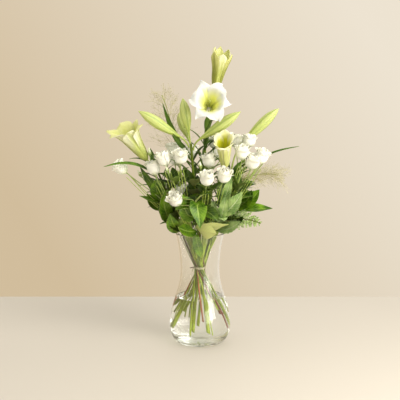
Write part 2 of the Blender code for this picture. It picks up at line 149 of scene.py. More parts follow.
def walk(node, corner, near, pace, widest):
    """The middles and half-widths along a solid, from the ring of corners round one of them.

    It steps on by its pace, cuts the solid square to its way there, and moves to the cut's middle.
    The new way is two parts of the old one and three of the step just made.
    """
    points, edges = solid(node)
    centre, way = setting_out(points, corner, near)
    half = near / 2
    rows = []
    while len(rows) < MOST_STEPS:
        # A near look keeps to this part of the solid; a wider one follows a sudden flare
        reach = 2.4 * half + pace
        found = cut(points, edges, centre + way * pace, way, reach)
        while len(found) < FEWEST_CROSSED and reach < widest:
            reach = reach * 1.5
            found = cut(points, edges, centre + way * pace, way, reach)
        if len(found) < FEWEST_CROSSED:
            break
        middle, half, _ = across_cut(found)
        # A step that swings far to the side, or starts to turn back, is over the solid's end
        turning = len(rows) > 4 and (middle - centre) @ (centre - rows[-4][0]) < 0
        if turning or np.linalg.norm(middle - centre) > pace * 1.5 + half * 0.5:
            break
        way = unit(way * 0.4 + unit(middle - centre) * 0.6)
        centre = middle
        rows.append((middle, half))
    centres, halves = (np.array(column) for column in zip(*rows))
    return centres, halves


def bulky_middle(node):
    """The mean place of a solid's edges by their length, which lies in its bulkiest part."""
    points, edges = solid(node)
    start, end = points[edges[:, 0]], points[edges[:, 1]]
    return np.average((start + end) / 2, axis=0, weights=np.linalg.norm(end - start, axis=1))


def stalk_line(node, pace, widest, near=0.0046):
    """The walk along a solid from its thin end, which is the corner farthest from its bulk."""
    points, _ = solid(node)
    far = points[np.linalg.norm(points - bulky_middle(node), axis=1).argmax()]
    return walk(node, far, near, pace, widest)


def lowest(node):
    """A solid's lowest corner."""
    points, _ = solid(node)
    return points[points[:, 2].argmin()]


def stem_line(node):
    """A stem's middle line from its cut foot to its head, and its radius at the foot."""
    centres, halves = walk(node, lowest(node), 0.0078, 0.006, 0.012)
    return flowing(centres, 80), float(np.median(halves[:20]))


def leaf_line(node):
    """A leaf's spine from its stalk to its tip, its half-widths, and the way that it faces.

    They are read from cuts square to the straight line between its two farthest corners.
    """
    points, edges = solid(node)
    one = points[np.linalg.norm(points - points.mean(axis=0), axis=1).argmax()]
    two = points[np.linalg.norm(points - one, axis=1).argmax()]
    start, end = sorted((one, two), key=lambda corner: np.hypot(corner[0], corner[1]))
    rows = []
    for share in np.linspace(0.02, 0.98, 40):
        found = cut(points, edges, start + (end - start) * share, unit(end - start), 1.0)
        rows.append(across_cut(found))
    centres, halves, dips = (np.array(column) for column in zip(*rows))
    return np.vstack([start, centres, end]), np.hstack([0.0008, halves, 0.0004]), unit(dips.mean(axis=0))


# ---- lines and surfaces ----------------------------------------------------------------------


def smooth(line, times=2):
    """The line with each inner point moved to a quarter, half, quarter mean, this many times."""
    line = np.array(line, float)
    for _ in range(times):
        line[1:-1] = line[:-2] / 4 + line[1:-1] / 2 + line[2:] / 4
    return line


def flowing(line, count):
    """Count points, evenly by chord length, on the smooth curve through a line's points.

    Between two points it is the cubic whose ends have the line's own slopes by chord length.
    """
    line = np.asarray(line, float)
    chord = np.concatenate([[0], np.cumsum(np.linalg.norm(np.diff(line, axis=0), axis=1))])
    slope = np.gradient(line, chord, axis=0)
    share = np.linspace(-1, 1, count)
    from_end = 1 - np.abs(share)
    at = (1 + np.sign(share) * (1 - from_end)) / 2 * chord[-1]
    low = np.clip(np.searchsorted(chord, at, side="right") - 1, 0, len(line) - 2)
    width = (chord[low + 1] - chord[low])[:, None]
    t = (at[:, None] - chord[low, None]) / width
    near, far = line[low], line[low + 1]
    return (
        near * (2 * t**3 - 3 * t**2 + 1)
        + far * (3 * t**2 - 2 * t**3)
        + slope[low] * width * (t**3 - 2 * t**2 + t)
        + slope[low + 1] * width * (t**3 - t**2)
    )


def arc_through(start, middle, end, count):
    """The quadratic Bezier curve drawn towards its middle point; stacks of curves at once."""
    start, middle, end = (np.asarray(point, float)[..., None, :] for point in (start, middle, end))
    t = np.linspace(0, 1, count)[:, None]
    return start * (1 - t) ** 2 + middle * 2 * t * (1 - t) + end * t**2


def crossways(line):
    """Two directions square to a line at each point, which don't twist round it.

    The first is nearest to the direction in which the line bends least.
    """
    way = unit(np.gradient(line, axis=-2))
    least = np.linalg.svd(way)[2][..., 2:3, :]
    one = unit(least - way * (least * way).sum(axis=-1, keepdims=True))
    return way, one, np.cross(way, one)


def tube(line, radius, sides, lobes=0.0, count=2, twist=0.0):
    """A grid round a line: the radius times one plus lobes times the cosine of count angles."""
    _, one, two = crossways(line)
    angle = np.arange(sides) * TURN / sides
    turned = np.linspace(0, 1, line.shape[-2])[:, None] * twist
    radius = np.asarray(radius, float)[..., None] * (1 + lobes * np.cos(count * angle + turned))
    around = one[..., None, :] * np.cos(angle)[:, None] + two[..., None, :] * np.sin(angle)[:, None]
    return line[..., None, :] + around * radius[..., None]


def lathe(profile, sides):
    """A profile of (radius, height) rows turned round the Z axis."""
    angle = np.arange(sides) * TURN / sides
    profile = np.asarray(profile, float)
    flat = np.stack([np.cos(angle), np.sin(angle), np.zeros(sides)], axis=-1)
    return profile[:, None, :1] * flat + profile[:, None, 1:] * UP


def standing(base, way, roll=0.0):
    """The rows of a turn that puts local Z along a way, rolled round it, and the base."""
    way = unit(np.asarray(way, float))
    level = unit(np.cross(UP + np.array([0.02, 0.03, 0]), way))
    other = np.cross(way, level)
    one = level * math.cos(roll) + other * math.sin(roll)
    return np.array([one, np.cross(way, one), way]), np.asarray(base, float)


def placed(grid, place):
    """A grid carried from local places to its own by a turn and a base."""
    turn, base = place
    return grid @ turn + base


def both_sides(sheet, thickness):
    """A closed skin round a sheet: its upper side, then its lower side the other way.

    Both lie half the thickness off it, along the cross product of its two directions.
    """
    across = np.gradient(sheet, axis=-2)
    along = np.gradient(sheet, axis=-3)
    lift = unit(np.cross(across, along)) * (np.asarray(thickness) / 2)
    return np.concatenate([sheet + lift, (sheet - lift)[..., ::-1, :]], axis=-2)


class Sheaf:
    """Grids of points that become one mesh.

    A grid has rows along a shape and columns round it, and faces out where its columns turn round
    its rows by the right hand. Its UV map, named grain, runs from 0 to 1 round and along it.
    """

    def __init__(self):
        self.points = []
        self.faces = []
        self.grains = []
        self.paints = []
        self.tones = []
        self.count = 0

    def add(self, grid, tone=0.5, paint=0):
        """Closes a grid, or each of a stack of like grids, into a ring, and caps its two ends."""
        rows, columns = grid.shape[-3:-1]
        grid = np.reshape(grid, (-1, rows, columns, 3))
        many = len(grid)
        index = np.arange(many * rows * columns).reshape(many, rows, columns) + self.count
        around = np.concatenate([index, index[:, :, :1]], axis=2)
        corners = (around[:, :-1, :-1], around[:, :-1, 1:], around[:, 1:, 1:], around[:, 1:, :-1])
        faces = np.stack(corners, axis=-1)
        u = np.linspace(0, 1, columns + 1)
        v = np.linspace(0, 1, rows)
        left, low = np.meshgrid(u[:-1], v[:-1])
        right, high = np.meshgrid(u[1:], v[1:])
        grain = np.stack([left, low, right, low, right, high, left, high], axis=-1)
        self.take(faces, np.broadcast_to(grain, (many, *grain.shape)), paint)
        ring_u = np.arange(columns) / columns
        for row, cap_u, height in ((index[:, 0, ::-1], ring_u[::-1], 0.0), (index[:, -1], ring_u, 1.0)):
            cap = np.stack([cap_u, np.full(columns, height)], axis=-1).reshape(-1)
            self.take(row, np.broadcast_to(cap, (many, len(cap))), paint)
        self.points.append(grid.reshape(-1, 3))
        self.tones.append(np.repeat(np.broadcast_to(tone, many), rows * columns))
        self.count += many * rows * columns

    def take(self, faces, grain, paint):
        """Keeps faces of one size with the grain at their corners and their paint's number."""
        faces = faces.reshape(-1, faces.shape[-1])
        self.faces.append(faces)
        self.grains.append(grain.reshape(-1, 2))
        self.paints.append(np.full(len(faces), paint))

    def make(self, name, paints, slot, stands_for=()):
        """The mesh as an object that rides with the vase and finishes these CAD nodes."""
        corners = np.concatenate([faces.ravel() for faces in self.faces]).astype(np.int32)
        sizes = np.concatenate([np.full(len(faces), faces.shape[1]) for faces in self.faces])
        mesh = bpy.data.meshes.new(name)
        mesh.vertices.add(self.count)
        mesh.vertices.foreach_set("co", np.concatenate(self.points).astype(np.float32).ravel())
        mesh.loops.add(len(corners))
        mesh.loops.foreach_set("vertex_index", corners)
        mesh.polygons.add(len(sizes))
        mesh.polygons.foreach_set("loop_start", (np.cumsum(sizes) - sizes).astype(np.int32))
        mesh.polygons.foreach_set("material_index", np.concatenate(self.paints).astype(np.int32))
        mesh.update(calc_edges=True)
        grain = mesh.uv_layers.new(name="grain")
        grain.data.foreach_set("uv", np.concatenate(self.grains).astype(np.float32).ravel())
        tone = mesh.attributes.new("tone", "FLOAT", "POINT")
        tone.data.foreach_set("value", np.concatenate(self.tones).astype(np.float32))
        mesh.validate()
        mesh.shade_smooth()
        mesh.set_sharp_from_angle(angle=math.radians(62))
        for paint in paints:
            mesh.materials.append(paint)
        piece = bpy.data.objects.new(name, mesh)
        bpy.context.scene.collection.objects.link(piece)
        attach(piece, "root")
        if stands_for:
            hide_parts(*stands_for)
        return piece


# ---- materials -------------------------------------------------------------------------------


class Recipe:
    """A material whose nodes are added one after another round one surface shader."""

    def __init__(self, name, roughness=0.5, **surface):
        self.paint = bpy.data.materials.new(name)
        self.paint.use_nodes = True
        self.tree = self.paint.node_tree
        self.surface = self.tree.nodes["Principled BSDF"]
        self.surface.inputs["Roughness"].default_value = roughness
        for socket, value in surface.items():
            self.surface.inputs[socket.replace("_", " ")].default_value = value

    def node(self, kind, inputs=(), **settings):
        """A node with these settings; inputs are values, or sockets to link, by name or number."""
        node = self.tree.nodes.new("ShaderNode" + kind)
        for setting, value in settings.items():
            setattr(node, setting, value)
        for socket, value in dict(inputs).items():
            if isinstance(value, bpy.types.NodeSocket):
                self.tree.links.new(value, node.inputs[socket])
            else:
                node.inputs[socket].default_value = value
        return node

    def grain(self):
        """The piece's own UV map: across, then along."""
        uv = self.node("UVMap", uv_map="grain").outputs["UV"]
        parts = self.node("SeparateXYZ", {0: uv})
        return uv, parts.outputs["X"], parts.outputs["Y"]

    def place(self):
        """Object coordinates, which are metres in the frame."""
        return self.node("TexCoord").outputs["Object"]

    def tone(self):
        """The piece's own number from 0 to 1, which sets one copy apart from the next."""
        return self.node("Attribute", attribute_name="tone").outputs["Fac"]

    def sums(self, operation, one, two=0.0, three=0.0):
        """One sum of two or three numbers."""
        return self.node("Math", {0: one, 1: two, 2: three}, operation=operation).outputs[0]

    def span(self, value, low, high, out_low=0.0, out_high=1.0):
        """A value's smooth share of the way from low to high."""
        inputs = {"Value": value, "From Min": low, "From Max": high}
        inputs |= {"To Min": out_low, "To Max": out_high}
        return self.node("MapRange", inputs, interpolation_type="SMOOTHSTEP").outputs["Result"]

    def noise(self, vector, scale, stretch=(1, 1, 1), detail=3.0):
        """Clouds of this many to a unit, drawn out along the axes where the stretch is small."""
        mapped = self.node("Mapping", {"Vector": vector, "Scale": stretch}).outputs["Vector"]
        inputs = {"Vector": mapped, "Scale": scale, "Detail": detail}
        return self.node("TexNoise", inputs).outputs["Fac"]

    def blend(self, factor, one, two, kind="MIX"):
        """One colour, going over to two by the factor."""
        mix = self.node("Mix", {0: factor}, data_type="RGBA", blend_type=kind)
        for socket, value in ((mix.inputs[6], one), (mix.inputs[7], two)):
            if isinstance(value, bpy.types.NodeSocket):
                self.tree.links.new(value, socket)
            else:
                socket.default_value = (*value[:3], 1.0)
        return mix.outputs[2]

    def shaded(self, colour, range_, least):
        """A colour made lighter or darker from copy to copy, by its tone."""
        light = self.sums("MULTIPLY_ADD", self.tone(), range_, least)
        grey = self.node("CombineColor", {0: light, 1: light, 2: light}).outputs[0]
        return self.blend(1.0, colour, grey, "MULTIPLY")

    def colour(self, socket):
        """Makes this the surface's colour."""
        self.tree.links.new(socket, self.surface.inputs["Base Color"])
        return self

    def rough(self, value, low, high):
        """Makes the surface rougher, from low to high, as a value goes from 0 to 1."""
        self.tree.links.new(self.span(value, 0, 1, low, high), self.surface.inputs["Roughness"])
        return self

    def bump(self, height, distance, strength=1.0):
        """Raises the surface by up to a distance where the height is one."""
        inputs = {"Height": height, "Distance": distance, "Strength": strength}
        normal = self.node("Bump", inputs).outputs["Normal"]
        self.tree.links.new(normal, self.surface.inputs["Normal"])
        return self

    def clear_shadow(self, colour):
        """Lets the light through, in this colour, to what the piece would shade."""
        shadow = self.node("LightPath").outputs["Is Shadow Ray"]
        clear = self.node("BsdfTransparent", {"Color": (*colour, 1.0)}).outputs[0]
        solid_part = self.surface.outputs[0]
        mix = self.node("MixShader", {0: shadow, 1: solid_part, 2: clear}).outputs[0]
        self.tree.links.new(mix, self.tree.nodes["Material Output"].inputs["Surface"])
        return self

    def stripes(self, value, width):
        """One on each whole number that a value passes, and nothing beyond the width of it."""
        return self.span(self.sums("PINGPONG", value, 0.5), 0.0, width, 1.0, 0.0)


def glass_paint(look):
    """Clear glass with slow waves in it, tinted in its thick base."""
    recipe = Recipe("clear_glass", 0.01, IOR=1.5, Transmission_Weight=1.0)
    place = recipe.place()
    waves = recipe.noise(place, 9.0, (1, 1, 0.5), 1.0)
    depth = recipe.node("SeparateXYZ", {0: place}).outputs["Z"]
    base = recipe.span(depth, 0.0, look.tint_height)
    recipe.colour(recipe.blend(base, look.tint, (0.985, 0.995, 0.99)))
    recipe.bump(waves, 0.0006, 0.25)
    recipe.clear_shadow((0.93, 0.94, 0.93))
    return recipe.paint


def water_paint(look):
    """Clear water with a faint ripple."""
    recipe = Recipe("water", 0.0, IOR=1.333, Transmission_Weight=1.0)
    ripples = recipe.noise(recipe.place(), 26.0, (1, 1, 1), 1.0)
    recipe.colour(recipe.blend(ripples, look.water, (1.0, 1.0, 1.0)))
    recipe.bump(ripples, 0.0003, 0.15)
    recipe.clear_shadow((0.97, 0.98, 0.97))
    return recipe.paint


def twine_paint(name, colour):
    """Twine: coarse fibres that run slantwise, with painted shade in the grooves between them."""
    recipe = Recipe(name, 0.9)
    uv, _, _ = recipe.grain()
    fibres = recipe.noise(uv, 60.0, (2, 12, 1), 4.0)
    # Painted shade: the low places between the fibres, where the bump sinks, are darker
    groove_shade = tuple(0.55 * part for part in colour)
    recipe.colour(recipe.blend(recipe.span(fibres, 0.3, 0.75), groove_shade, colour))
    recipe.bump(fibres, 0.0003, 0.8)
    return recipe.paint


def stem_paint(name, top, foot, low, high, roughness=0.42, lines_colour=(0.46, 0.55, 0.03)):
    """A stem's colour from its foot to its head, with fine lines along it and long dark patches of painted
    shade.
    """
    recipe = Recipe(name, roughness, Subsurface_Weight=0.12, Subsurface_Scale=0.002)
    recipe.surface.inputs["Subsurface Radius"].default_value = (0.6, 1.0, 0.3)
    uv, _, _ = recipe.grain()
    place = recipe.place()
    height = recipe.node("SeparateXYZ", {0: place}).outputs["Z"]
    lines = recipe.noise(uv, 30.0, (1.2, 0.25, 1), 3.0)
    shade_patches = recipe.noise(place, 60.0, (1, 1, 0.25), 3.0)
    colour = recipe.blend(recipe.span(height, low, high), foot, top)
    colour = recipe.blend(recipe.span(lines, 0.42, 0.72, 0.0, 0.5), colour, lines_colour)
    # Painted shade: dark patches, drawn out up and down the stems
    colour = recipe.blend(recipe.span(shade_patches, 0.45, 0.75, 0.0, 0.6), colour, (0.1, 0.12, 0.015))
    recipe.colour(recipe.shaded(colour, 0.6, 0.6))
    recipe.rough(lines, roughness - 0.08, roughness + 0.12)
    recipe.bump(lines, 0.0002, 0.6)
    return recipe.paint


def petal_paint(name, inside, outside, ends, veins, keel, roughness=0.5, glow=0.3):
    """A petal's two sides, each going from a colour at its base to another at its edge.

    The grain's first half is the outside. The colour changes between the two ends along the
    petal; veins run along it, and a keel of its own colour marks the middle of the outside.
    """
    recipe = Recipe(name, roughness, Subsurface_Weight=glow, Subsurface_Scale=0.004)
    recipe.surface.inputs["Subsurface Radius"].default_value = (1.0, 1.0, 0.7)
    uv, around, along = recipe.grain()
    inner = recipe.sums("GREATER_THAN", around, 0.5)
    across = recipe.sums("PINGPONG", recipe.sums("MULTIPLY", around, 2.0), 1.0)
    off = recipe.sums("ABSOLUTE", recipe.sums("MULTIPLY_ADD", across, 2.0, -1.0))
    fine = recipe.noise(uv, 24.0, (4.0, 0.3, 1), 3.0)
    cloudy = recipe.noise(recipe.place(), 70.0, (1, 1, 1), 2.0)
    waver = recipe.sums("MULTIPLY_ADD", cloudy, 0.14, along)
    spread = recipe.sums("MULTIPLY_ADD", off, 0.16, waver)
    far = recipe.span(spread, *ends)
    inside = recipe.blend(far, *inside)
    outside = recipe.blend(far, *outside)
    keel_share, keel_colour = keel
    rib = recipe.span(off, 0.05, 0.42, keel_share, 0.0)
    outside = recipe.blend(rib, outside, keel_colour)
    colour = recipe.blend(inner, outside, inside)
    colour = recipe.blend(recipe.span(fine, 0.48, 0.72, 0.0, 0.4), colour, veins)
    recipe.colour(recipe.shaded(colour, 0.1, 0.92))
    recipe.rough(fine, roughness - 0.1, roughness + 0.1)
    recipe.bump(fine, 0.0004, 0.5)
    return recipe.paint


def bud_paint(name, look):
    """A lily bud's or trumpet's outside: green keels and feet on cream-green flanks."""
    recipe = Recipe(name, 0.42, Subsurface_Weight=0.25, Subsurface_Scale=0.004)
    recipe.surface.inputs["Subsurface Radius"].default_value = (0.8, 1.0, 0.4)
    uv, across, along = recipe.grain()
    thirds = recipe.sums("MULTIPLY", across, 3.0)
    keel = recipe.stripes(thirds, 0.11)
    seam = recipe.stripes(recipe.sums("ADD", thirds, 0.5), 0.17)
    fine = recipe.noise(uv, 30.0, (2.5, 0.3, 1), 3.0)
    cloudy = recipe.noise(recipe.place(), 55.0, (1, 1, 1), 3.0)
    waver = recipe.sums("MULTIPLY_ADD", cloudy, 0.2, along)
    colour = recipe.blend(recipe.span(waver, 0.25, 1.05), look.bud_foot, look.bud_tip)
    colour = recipe.blend(recipe.sums("MULTIPLY", keel, 0.4), colour, look.bud_keel)
    colour = recipe.blend(recipe.sums("MULTIPLY", seam, 0.8), colour, look.bud_keel)
    colour = recipe.blend(recipe.span(fine, 0.4, 0.8, 0.0, 0.3), colour, (0.85, 0.88, 0.5))
    recipe.colour(colour)
    recipe.bump(fine, 0.0004, 0.5)
    return recipe.paint


def leaf_paint(name, groove_shade, light, under, veins, pinnate, roughness=0.35, coat=0.0):
    """A leaf's colour: patches, a pale midrib, side veins or lines along it, a paler underside, and painted
    light and shade that make some leaves lighter and others darker.

    The grain runs once round the leaf, so its first half is the upper side.
    """
    recipe = Recipe(name, roughness, Coat_Weight=coat, Coat_Roughness=0.25, Specular_IOR_Level=0.25)
    recipe.surface.inputs["Subsurface Weight"].default_value = 0.08
    recipe.surface.inputs["Subsurface Scale"].default_value = 0.002
    recipe.surface.inputs["Subsurface Radius"].default_value = (0.5, 1.0, 0.2)
    _, around, along = recipe.grain()
    under_side = recipe.sums("GREATER_THAN", around, 0.5)
    across = recipe.sums("PINGPONG", recipe.sums("MULTIPLY", around, 2.0), 1.0)
    off = recipe.sums("ABSOLUTE", recipe.sums("MULTIPLY_ADD", across, 2.0, -1.0))
    midrib = recipe.span(off, 0.02, 0.1, 1.0, 0.0)
    cloudy = recipe.noise(recipe.place(), 45.0, (1, 1, 1), 4.0)
    if pinnate:
        slant = recipe.sums("MULTIPLY_ADD", off, -2.4, recipe.sums("MULTIPLY", along, 11.0))
        wavy = recipe.sums("MULTIPLY_ADD", cloudy, 0.6, slant)
        lines = recipe.stripes(wavy, 0.14)
    else:
        lines = recipe.stripes(recipe.sums("MULTIPLY", across, 9.0), 0.3)
    mottle = recipe.span(cloudy, 0.3, 0.7)
    colour = recipe.blend(mottle, groove_shade, light)
    colour = recipe.blend(recipe.sums("MULTIPLY", lines, 0.35), colour, veins)
    colour = recipe.blend(recipe.sums("MULTIPLY", midrib, 0.8), colour, veins)
    pale = recipe.blend(recipe.sums("MULTIPLY", lines, 0.25), under, veins)
    colour = recipe.blend(under_side, colour, pale)
    # Painted light and shade: by its tone each leaf is made lighter or darker, as lit and shaded leaves
    recipe.colour(recipe.shaded(colour, 0.85, 0.42))
    recipe.rough(mottle, roughness - 0.06, roughness + 0.1)
    relief = recipe.sums("MULTIPLY_ADD", lines, -0.6, recipe.sums("MULTIPLY", cloudy, 0.5))
    recipe.bump(relief, 0.0005, 0.7)
    return recipe.paint


def dry_paint(name, pale, groove_shade):
    """Dry grass: pale straw with darker stretches, by place."""
    recipe = Recipe(name, 0.75)
    cloudy = recipe.noise(recipe.place(), 90.0, (1, 1, 1), 3.0)
    colour = recipe.blend(recipe.span(cloudy, 0.35, 0.65), groove_shade, pale)
    recipe.colour(recipe.shaded(colour, 0.4, 0.8))
    recipe.bump(cloudy, 0.0002, 0.5)
    return recipe.paint


def floor_paint(look):
    """A matt floor with a fine tooth and slow cloudy patches."""
    recipe = Recipe("floor", 0.6)
    cloudy = recipe.noise(recipe.place(), 1.3, (1, 1, 1), 2.0)
    fine = recipe.noise(recipe.place(), 240.0, (1, 1, 1), 3.0)
    lighter = tuple(min(1.0, 1.04 * part) for part in look.floor)
    recipe.colour(recipe.blend(cloudy, look.floor, lighter))
    recipe.bump(fine, 0.0001, 0.3)
    return recipe.paint


# ---- vase, water and twine -------------------------------------------------------------------


def wall_profiles():
    """The vase's outer and inner (radius, height) rows, bottom to top, from its CAD faces.

    A face belongs to the wall that its normal leans to: away from the axis or towards it.
    """
    mesh = NODES["vase"].data
    points, _ = solid("vase")
    normals = np.empty(len(mesh.polygons) * 3)
    mesh.polygons.foreach_get("normal", normals)
    middles = np.empty(len(mesh.polygons) * 3)
    mesh.polygons.foreach_get("center", middles)
    corners = np.empty(len(mesh.loops), int)
    mesh.loops.foreach_get("vertex_index", corners)
    normals, middles = normals.reshape(-1, 3), middles.reshape(-1, 3)
    lean = (normals[:, :2] * middles[:, :2]).sum(axis=1) / np.hypot(*middles[:, :2].T)
    for chosen in (lean > 0.02, lean < -0.02):
        used = points[corners.reshape(-1, 3)[chosen].ravel()]
        rows = np.stack([np.hypot(used[:, 0], used[:, 1]), used[:, 2]], axis=-1)
        rows = np.unique(np.round(rows, 5), axis=0)
        rows = rows[rows[:, 1] < points[:, 2].max() - 0.0004]
        yield rows[np.argsort(rows[:, 1])]


class GlassLook(bpy.types.PropertyGroup):
    tint: colour_choice("Base tint", "Colour of the thick base", (0.93, 0.97, 0.95))
    tint_height: length_choice("Tint height", "Height over which the base tint fades", 0.03)
    water: colour_choice("Water", "Colour of the water", (0.97, 0.99, 0.97))
    hollow: length_choice("Hollow", "Rise of the hollow under the foot", 0.0022)
    meniscus: length_choice("Meniscus", "Rise of the water up the glass", 0.0014)
    bedding: length_choice(
        "Bedding", "How far the water reaches into the glass, so no air shows", 0.0002,
    )


class MakeVase(bpy.types.Operator):
    """Turns the glass vase: two walls, a rounded lip, a thick base and a hollow under its foot"""

    bl_idname = "bouquet.vase"
    bl_label = "Vase"

    def execute(self, context):
        look = context.scene.glass_look
        outer, inner = wall_profiles()
        foot, rim = outer[0, 0], outer[-1]
        # The lip is a half circle from one wall's top to the other's
        inner_rim = inner[np.argmin(np.abs(inner[:, 1] - rim[1]))]
        bend = np.linspace(0, math.pi, 13)[1:-1]
        middle, half = (rim[0] + inner_rim[0]) / 2, (rim[0] - inner_rim[0]) / 2
        lip = np.stack([middle + half * np.cos(bend), rim[1] + half * np.sin(bend) * 0.8], axis=-1)
        # The hollow is a shallow dome, met by a rounded ring that the vase stands on
        share = np.linspace(0, 1, 12)
        dome = np.stack([foot * 0.86 * share, look.hollow * (1 - share**2)], axis=-1)
        dome[0, 0] = POLE
        up = flowing(np.vstack([[foot * 0.93, 0.0], outer]), 90)
        down = flowing(inner[inner[:, 1] <= inner_rim[1]][::-1], 80)
        floor = np.stack([down[-1, 0] * (1 - share), np.full(12, down[-1, 1])], axis=-1)[1:]
        floor[:, 1] += 0.0012 * np.sin(share[1:] * math.pi / 2) ** 2
        floor[-1, 0] = POLE
        sheaf = Sheaf()
        profile = np.vstack([dome, up, lip, down, floor])
        sheaf.add(lathe(profile, 144))
        sheaf.make("vase_glass", [glass_paint(look)], "clear_glass", ["vase"])
        return {"FINISHED"}


class MakeWater(bpy.types.Operator):
    """Fills the vase to its level, with a rim of water that creeps up the glass"""

    bl_idname = "bouquet.water"
    bl_label = "Water"

    def execute(self, context):
        look = context.scene.glass_look
        _, inner = wall_profiles()
        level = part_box("water")[1].z
        wall = flowing(inner, 160)
        wall = wall[wall[:, 1] < level + look.meniscus]
        wall[:, 0] += look.bedding
        floor = wall[0, 1] - look.bedding
        share = np.linspace(0, 1, 16)[1:]
        # The meniscus falls off as the fourth power of the way in from the glass
        edge = wall[-1, 0]
        top = np.stack([edge - 0.007 * share, level + look.meniscus * (1 - share) ** 4], axis=-1)
        profile = np.vstack([[POLE, floor], [wall[0, 0] * 0.5, floor], wall, top, [POLE, level]])
        sheaf = Sheaf()
        sheaf.add(lathe(profile, 144))
        sheaf.make("vase_water", [water_paint(look)], "water", ["water"])
        return {"FINISHED"}


class TwineLook(bpy.types.PropertyGroup):
    radius: length_choice("Radius", "Radius of the twine", 0.00105)
    turns: bpy.props.IntProperty(name="Turns", description="Turns round the stems", default=3)
    colour: colour_choice("Twine", "Colour of the twine", (0.64, 0.6, 0.36))
    tail_colour: colour_choice("Tail", "Colour of the wired tail", (0.16, 0.08, 0.045))


def bunch_outline(height, angles):
    """The convex outline of the stems at a height.

    In each direction the farthest stem gives the reach h, and the outline there is h along the
    direction plus h's own slope square to it.
    """
    centres, radii = [], []
    for line, radius in STEM_LINES.values():
        at = np.argmin(np.abs(line[:, 2] - height))
        centres.append(line[at, :2])
        radii.append(radius)
    out = np.stack([np.cos(angles), np.sin(angles)], axis=-1)
    reach = (out @ np.array(centres).T + np.array(radii)).max(axis=1)
    slope = np.gradient(reach, angles)
    beside = np.stack([-np.sin(angles), np.cos(angles)], axis=-1)
    return out * reach[:, None] + beside * slope[:, None], out


def plied(line, radius, sides, twists):
    """Two-ply twine along a line: a tube of two lobes that twist round it this many times."""
    return tube(line, np.full(len(line), radius), sides, 0.16, 2, TURN * twists)


class MakeTwine(bpy.types.Operator):
    """Winds the two-ply twine round the bunch and knots it, with a short tail to the left"""

    bl_idname = "bouquet.twine"
    bl_label = "Twine"

    def execute(self, context):
        look = context.scene.twine_look
        low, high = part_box("twine_tie")
        middle = (low.z + high.z) / 2
        angles = np.linspace(0, TURN * look.turns, 64 * look.turns) + math.pi
        outline, out = bunch_outline(middle, angles)
        rise = np.linspace(-1, 1, len(angles)) * look.radius * 2.05 * (look.turns - 1) / 2
        wraps = np.column_stack([outline + out * look.radius, middle + rise])
        sheaf = Sheaf()
        line = smooth(wraps, 3)
        sheaf.add(plied(line, look.radius, 10, 40 * look.turns))
        # The knot is a trefoil: two circles of one and two turns, added
        knot_at = line[0] + np.array([-1.6, -0.6, 0.6]) * look.radius
        turn = np.linspace(0, TURN, 61)
        knot = np.stack(
            [
                np.cos(3 * turn) * 0.9,
                np.sin(turn) + 2 * np.sin(2 * turn),
                np.cos(turn) - 2 * np.cos(2 * turn),
            ],
            axis=-1,
        )
        knot = knot_at + knot * look.radius * 0.75
        sheaf.add(plied(knot, look.radius * 0.85, 8, 12))
        aside, down = knot_at + [-0.009, -0.004, -0.0005], knot_at + [-0.003, -0.006, -0.009]
        tail = arc_through(knot_at, knot_at + [-0.005, -0.001, 0.001], aside, 16)
        short = arc_through(knot_at, knot_at + [-0.003, -0.004, -0.002], down, 14)
        sheaf.add(plied(tail, look.radius, 8, 4), paint=1)
        sheaf.add(plied(short, look.radius * 0.8, 8, 4))
        paints = [
            twine_paint("twine", look.colour),
            twine_paint("twine_tail", look.tail_colour),
        ]
        sheaf.make("twine_wraps", paints, "twine", ["twine_tie"])
        return {"FINISHED"}


# ---- stems -----------------------------------------------------------------------------------

STEM_LINES = {name: stem_line(name) for name in NODES if "_stem" in name}


class StemLook(bpy.types.PropertyGroup):
    green: colour_choice("Green", "Colour of the green stems above the water", (0.14, 0.22, 0.008))
    pale: colour_choice("Pale", "Colour of the green stems at their cut ends", (0.33, 0.42, 0.012))
    wood: colour_choice("Wood", "Colour of the woody stems at their cut ends", (0.3, 0.06, 0.02))
    bark: colour_choice(
        "Bark", "Colour of the woody stems above the water", (0.16, 0.13, 0.03),
    )
    bow: length_choice("Bow", "How far a stem strays from straight", 0.0009)
    shoots: bpy.props.IntProperty(
        name="Shoots", description="Thin side shoots between the stems", default=20,
    )
    joint_spacing: length_choice("Joint spacing", "Length of stem between two joints", 0.047)
    joint_swelling: bpy.props.FloatProperty(
        name="Joint swelling", description="Extra radius at a joint, as a share", default=0.14,
    )


def stem_grid(line, radius, look, order, sides=14):
    """A stem: a tube that strays by two slow waves, swells at its joints and has a slanted cut."""
    share = np.linspace(0, 1, len(line))
    length = np.linalg.norm(np.diff(line, axis=0), axis=1).sum()
    _, one, two = crossways(line)
    stray = np.sin(share * 9 + order) * np.sin(share * math.pi) * look.bow
    other = np.cos(share * 7 + 2.3 * order) * np.sin(share * math.pi) * look.bow
    line = line + one * stray[:, None] + two * other[:, None]
    along = share * length / look.joint_spacing + 0.31 * order
    joint = np.exp(-(((along + 0.5) % 1 - 0.5) / 0.045) ** 2)
    taper = 1.03 - 0.12 * share
    grid = tube(line, radius * taper * (1 + look.joint_swelling * joint), sides, 0.035, 5)
    way = unit(line[1] - line[0])
    slant = (grid[0] - line[0]) @ unit(np.array([1.0, 0.6, 0.0]))
    grid[0] -= way * (slant[:, None] * 0.9)
    return grid


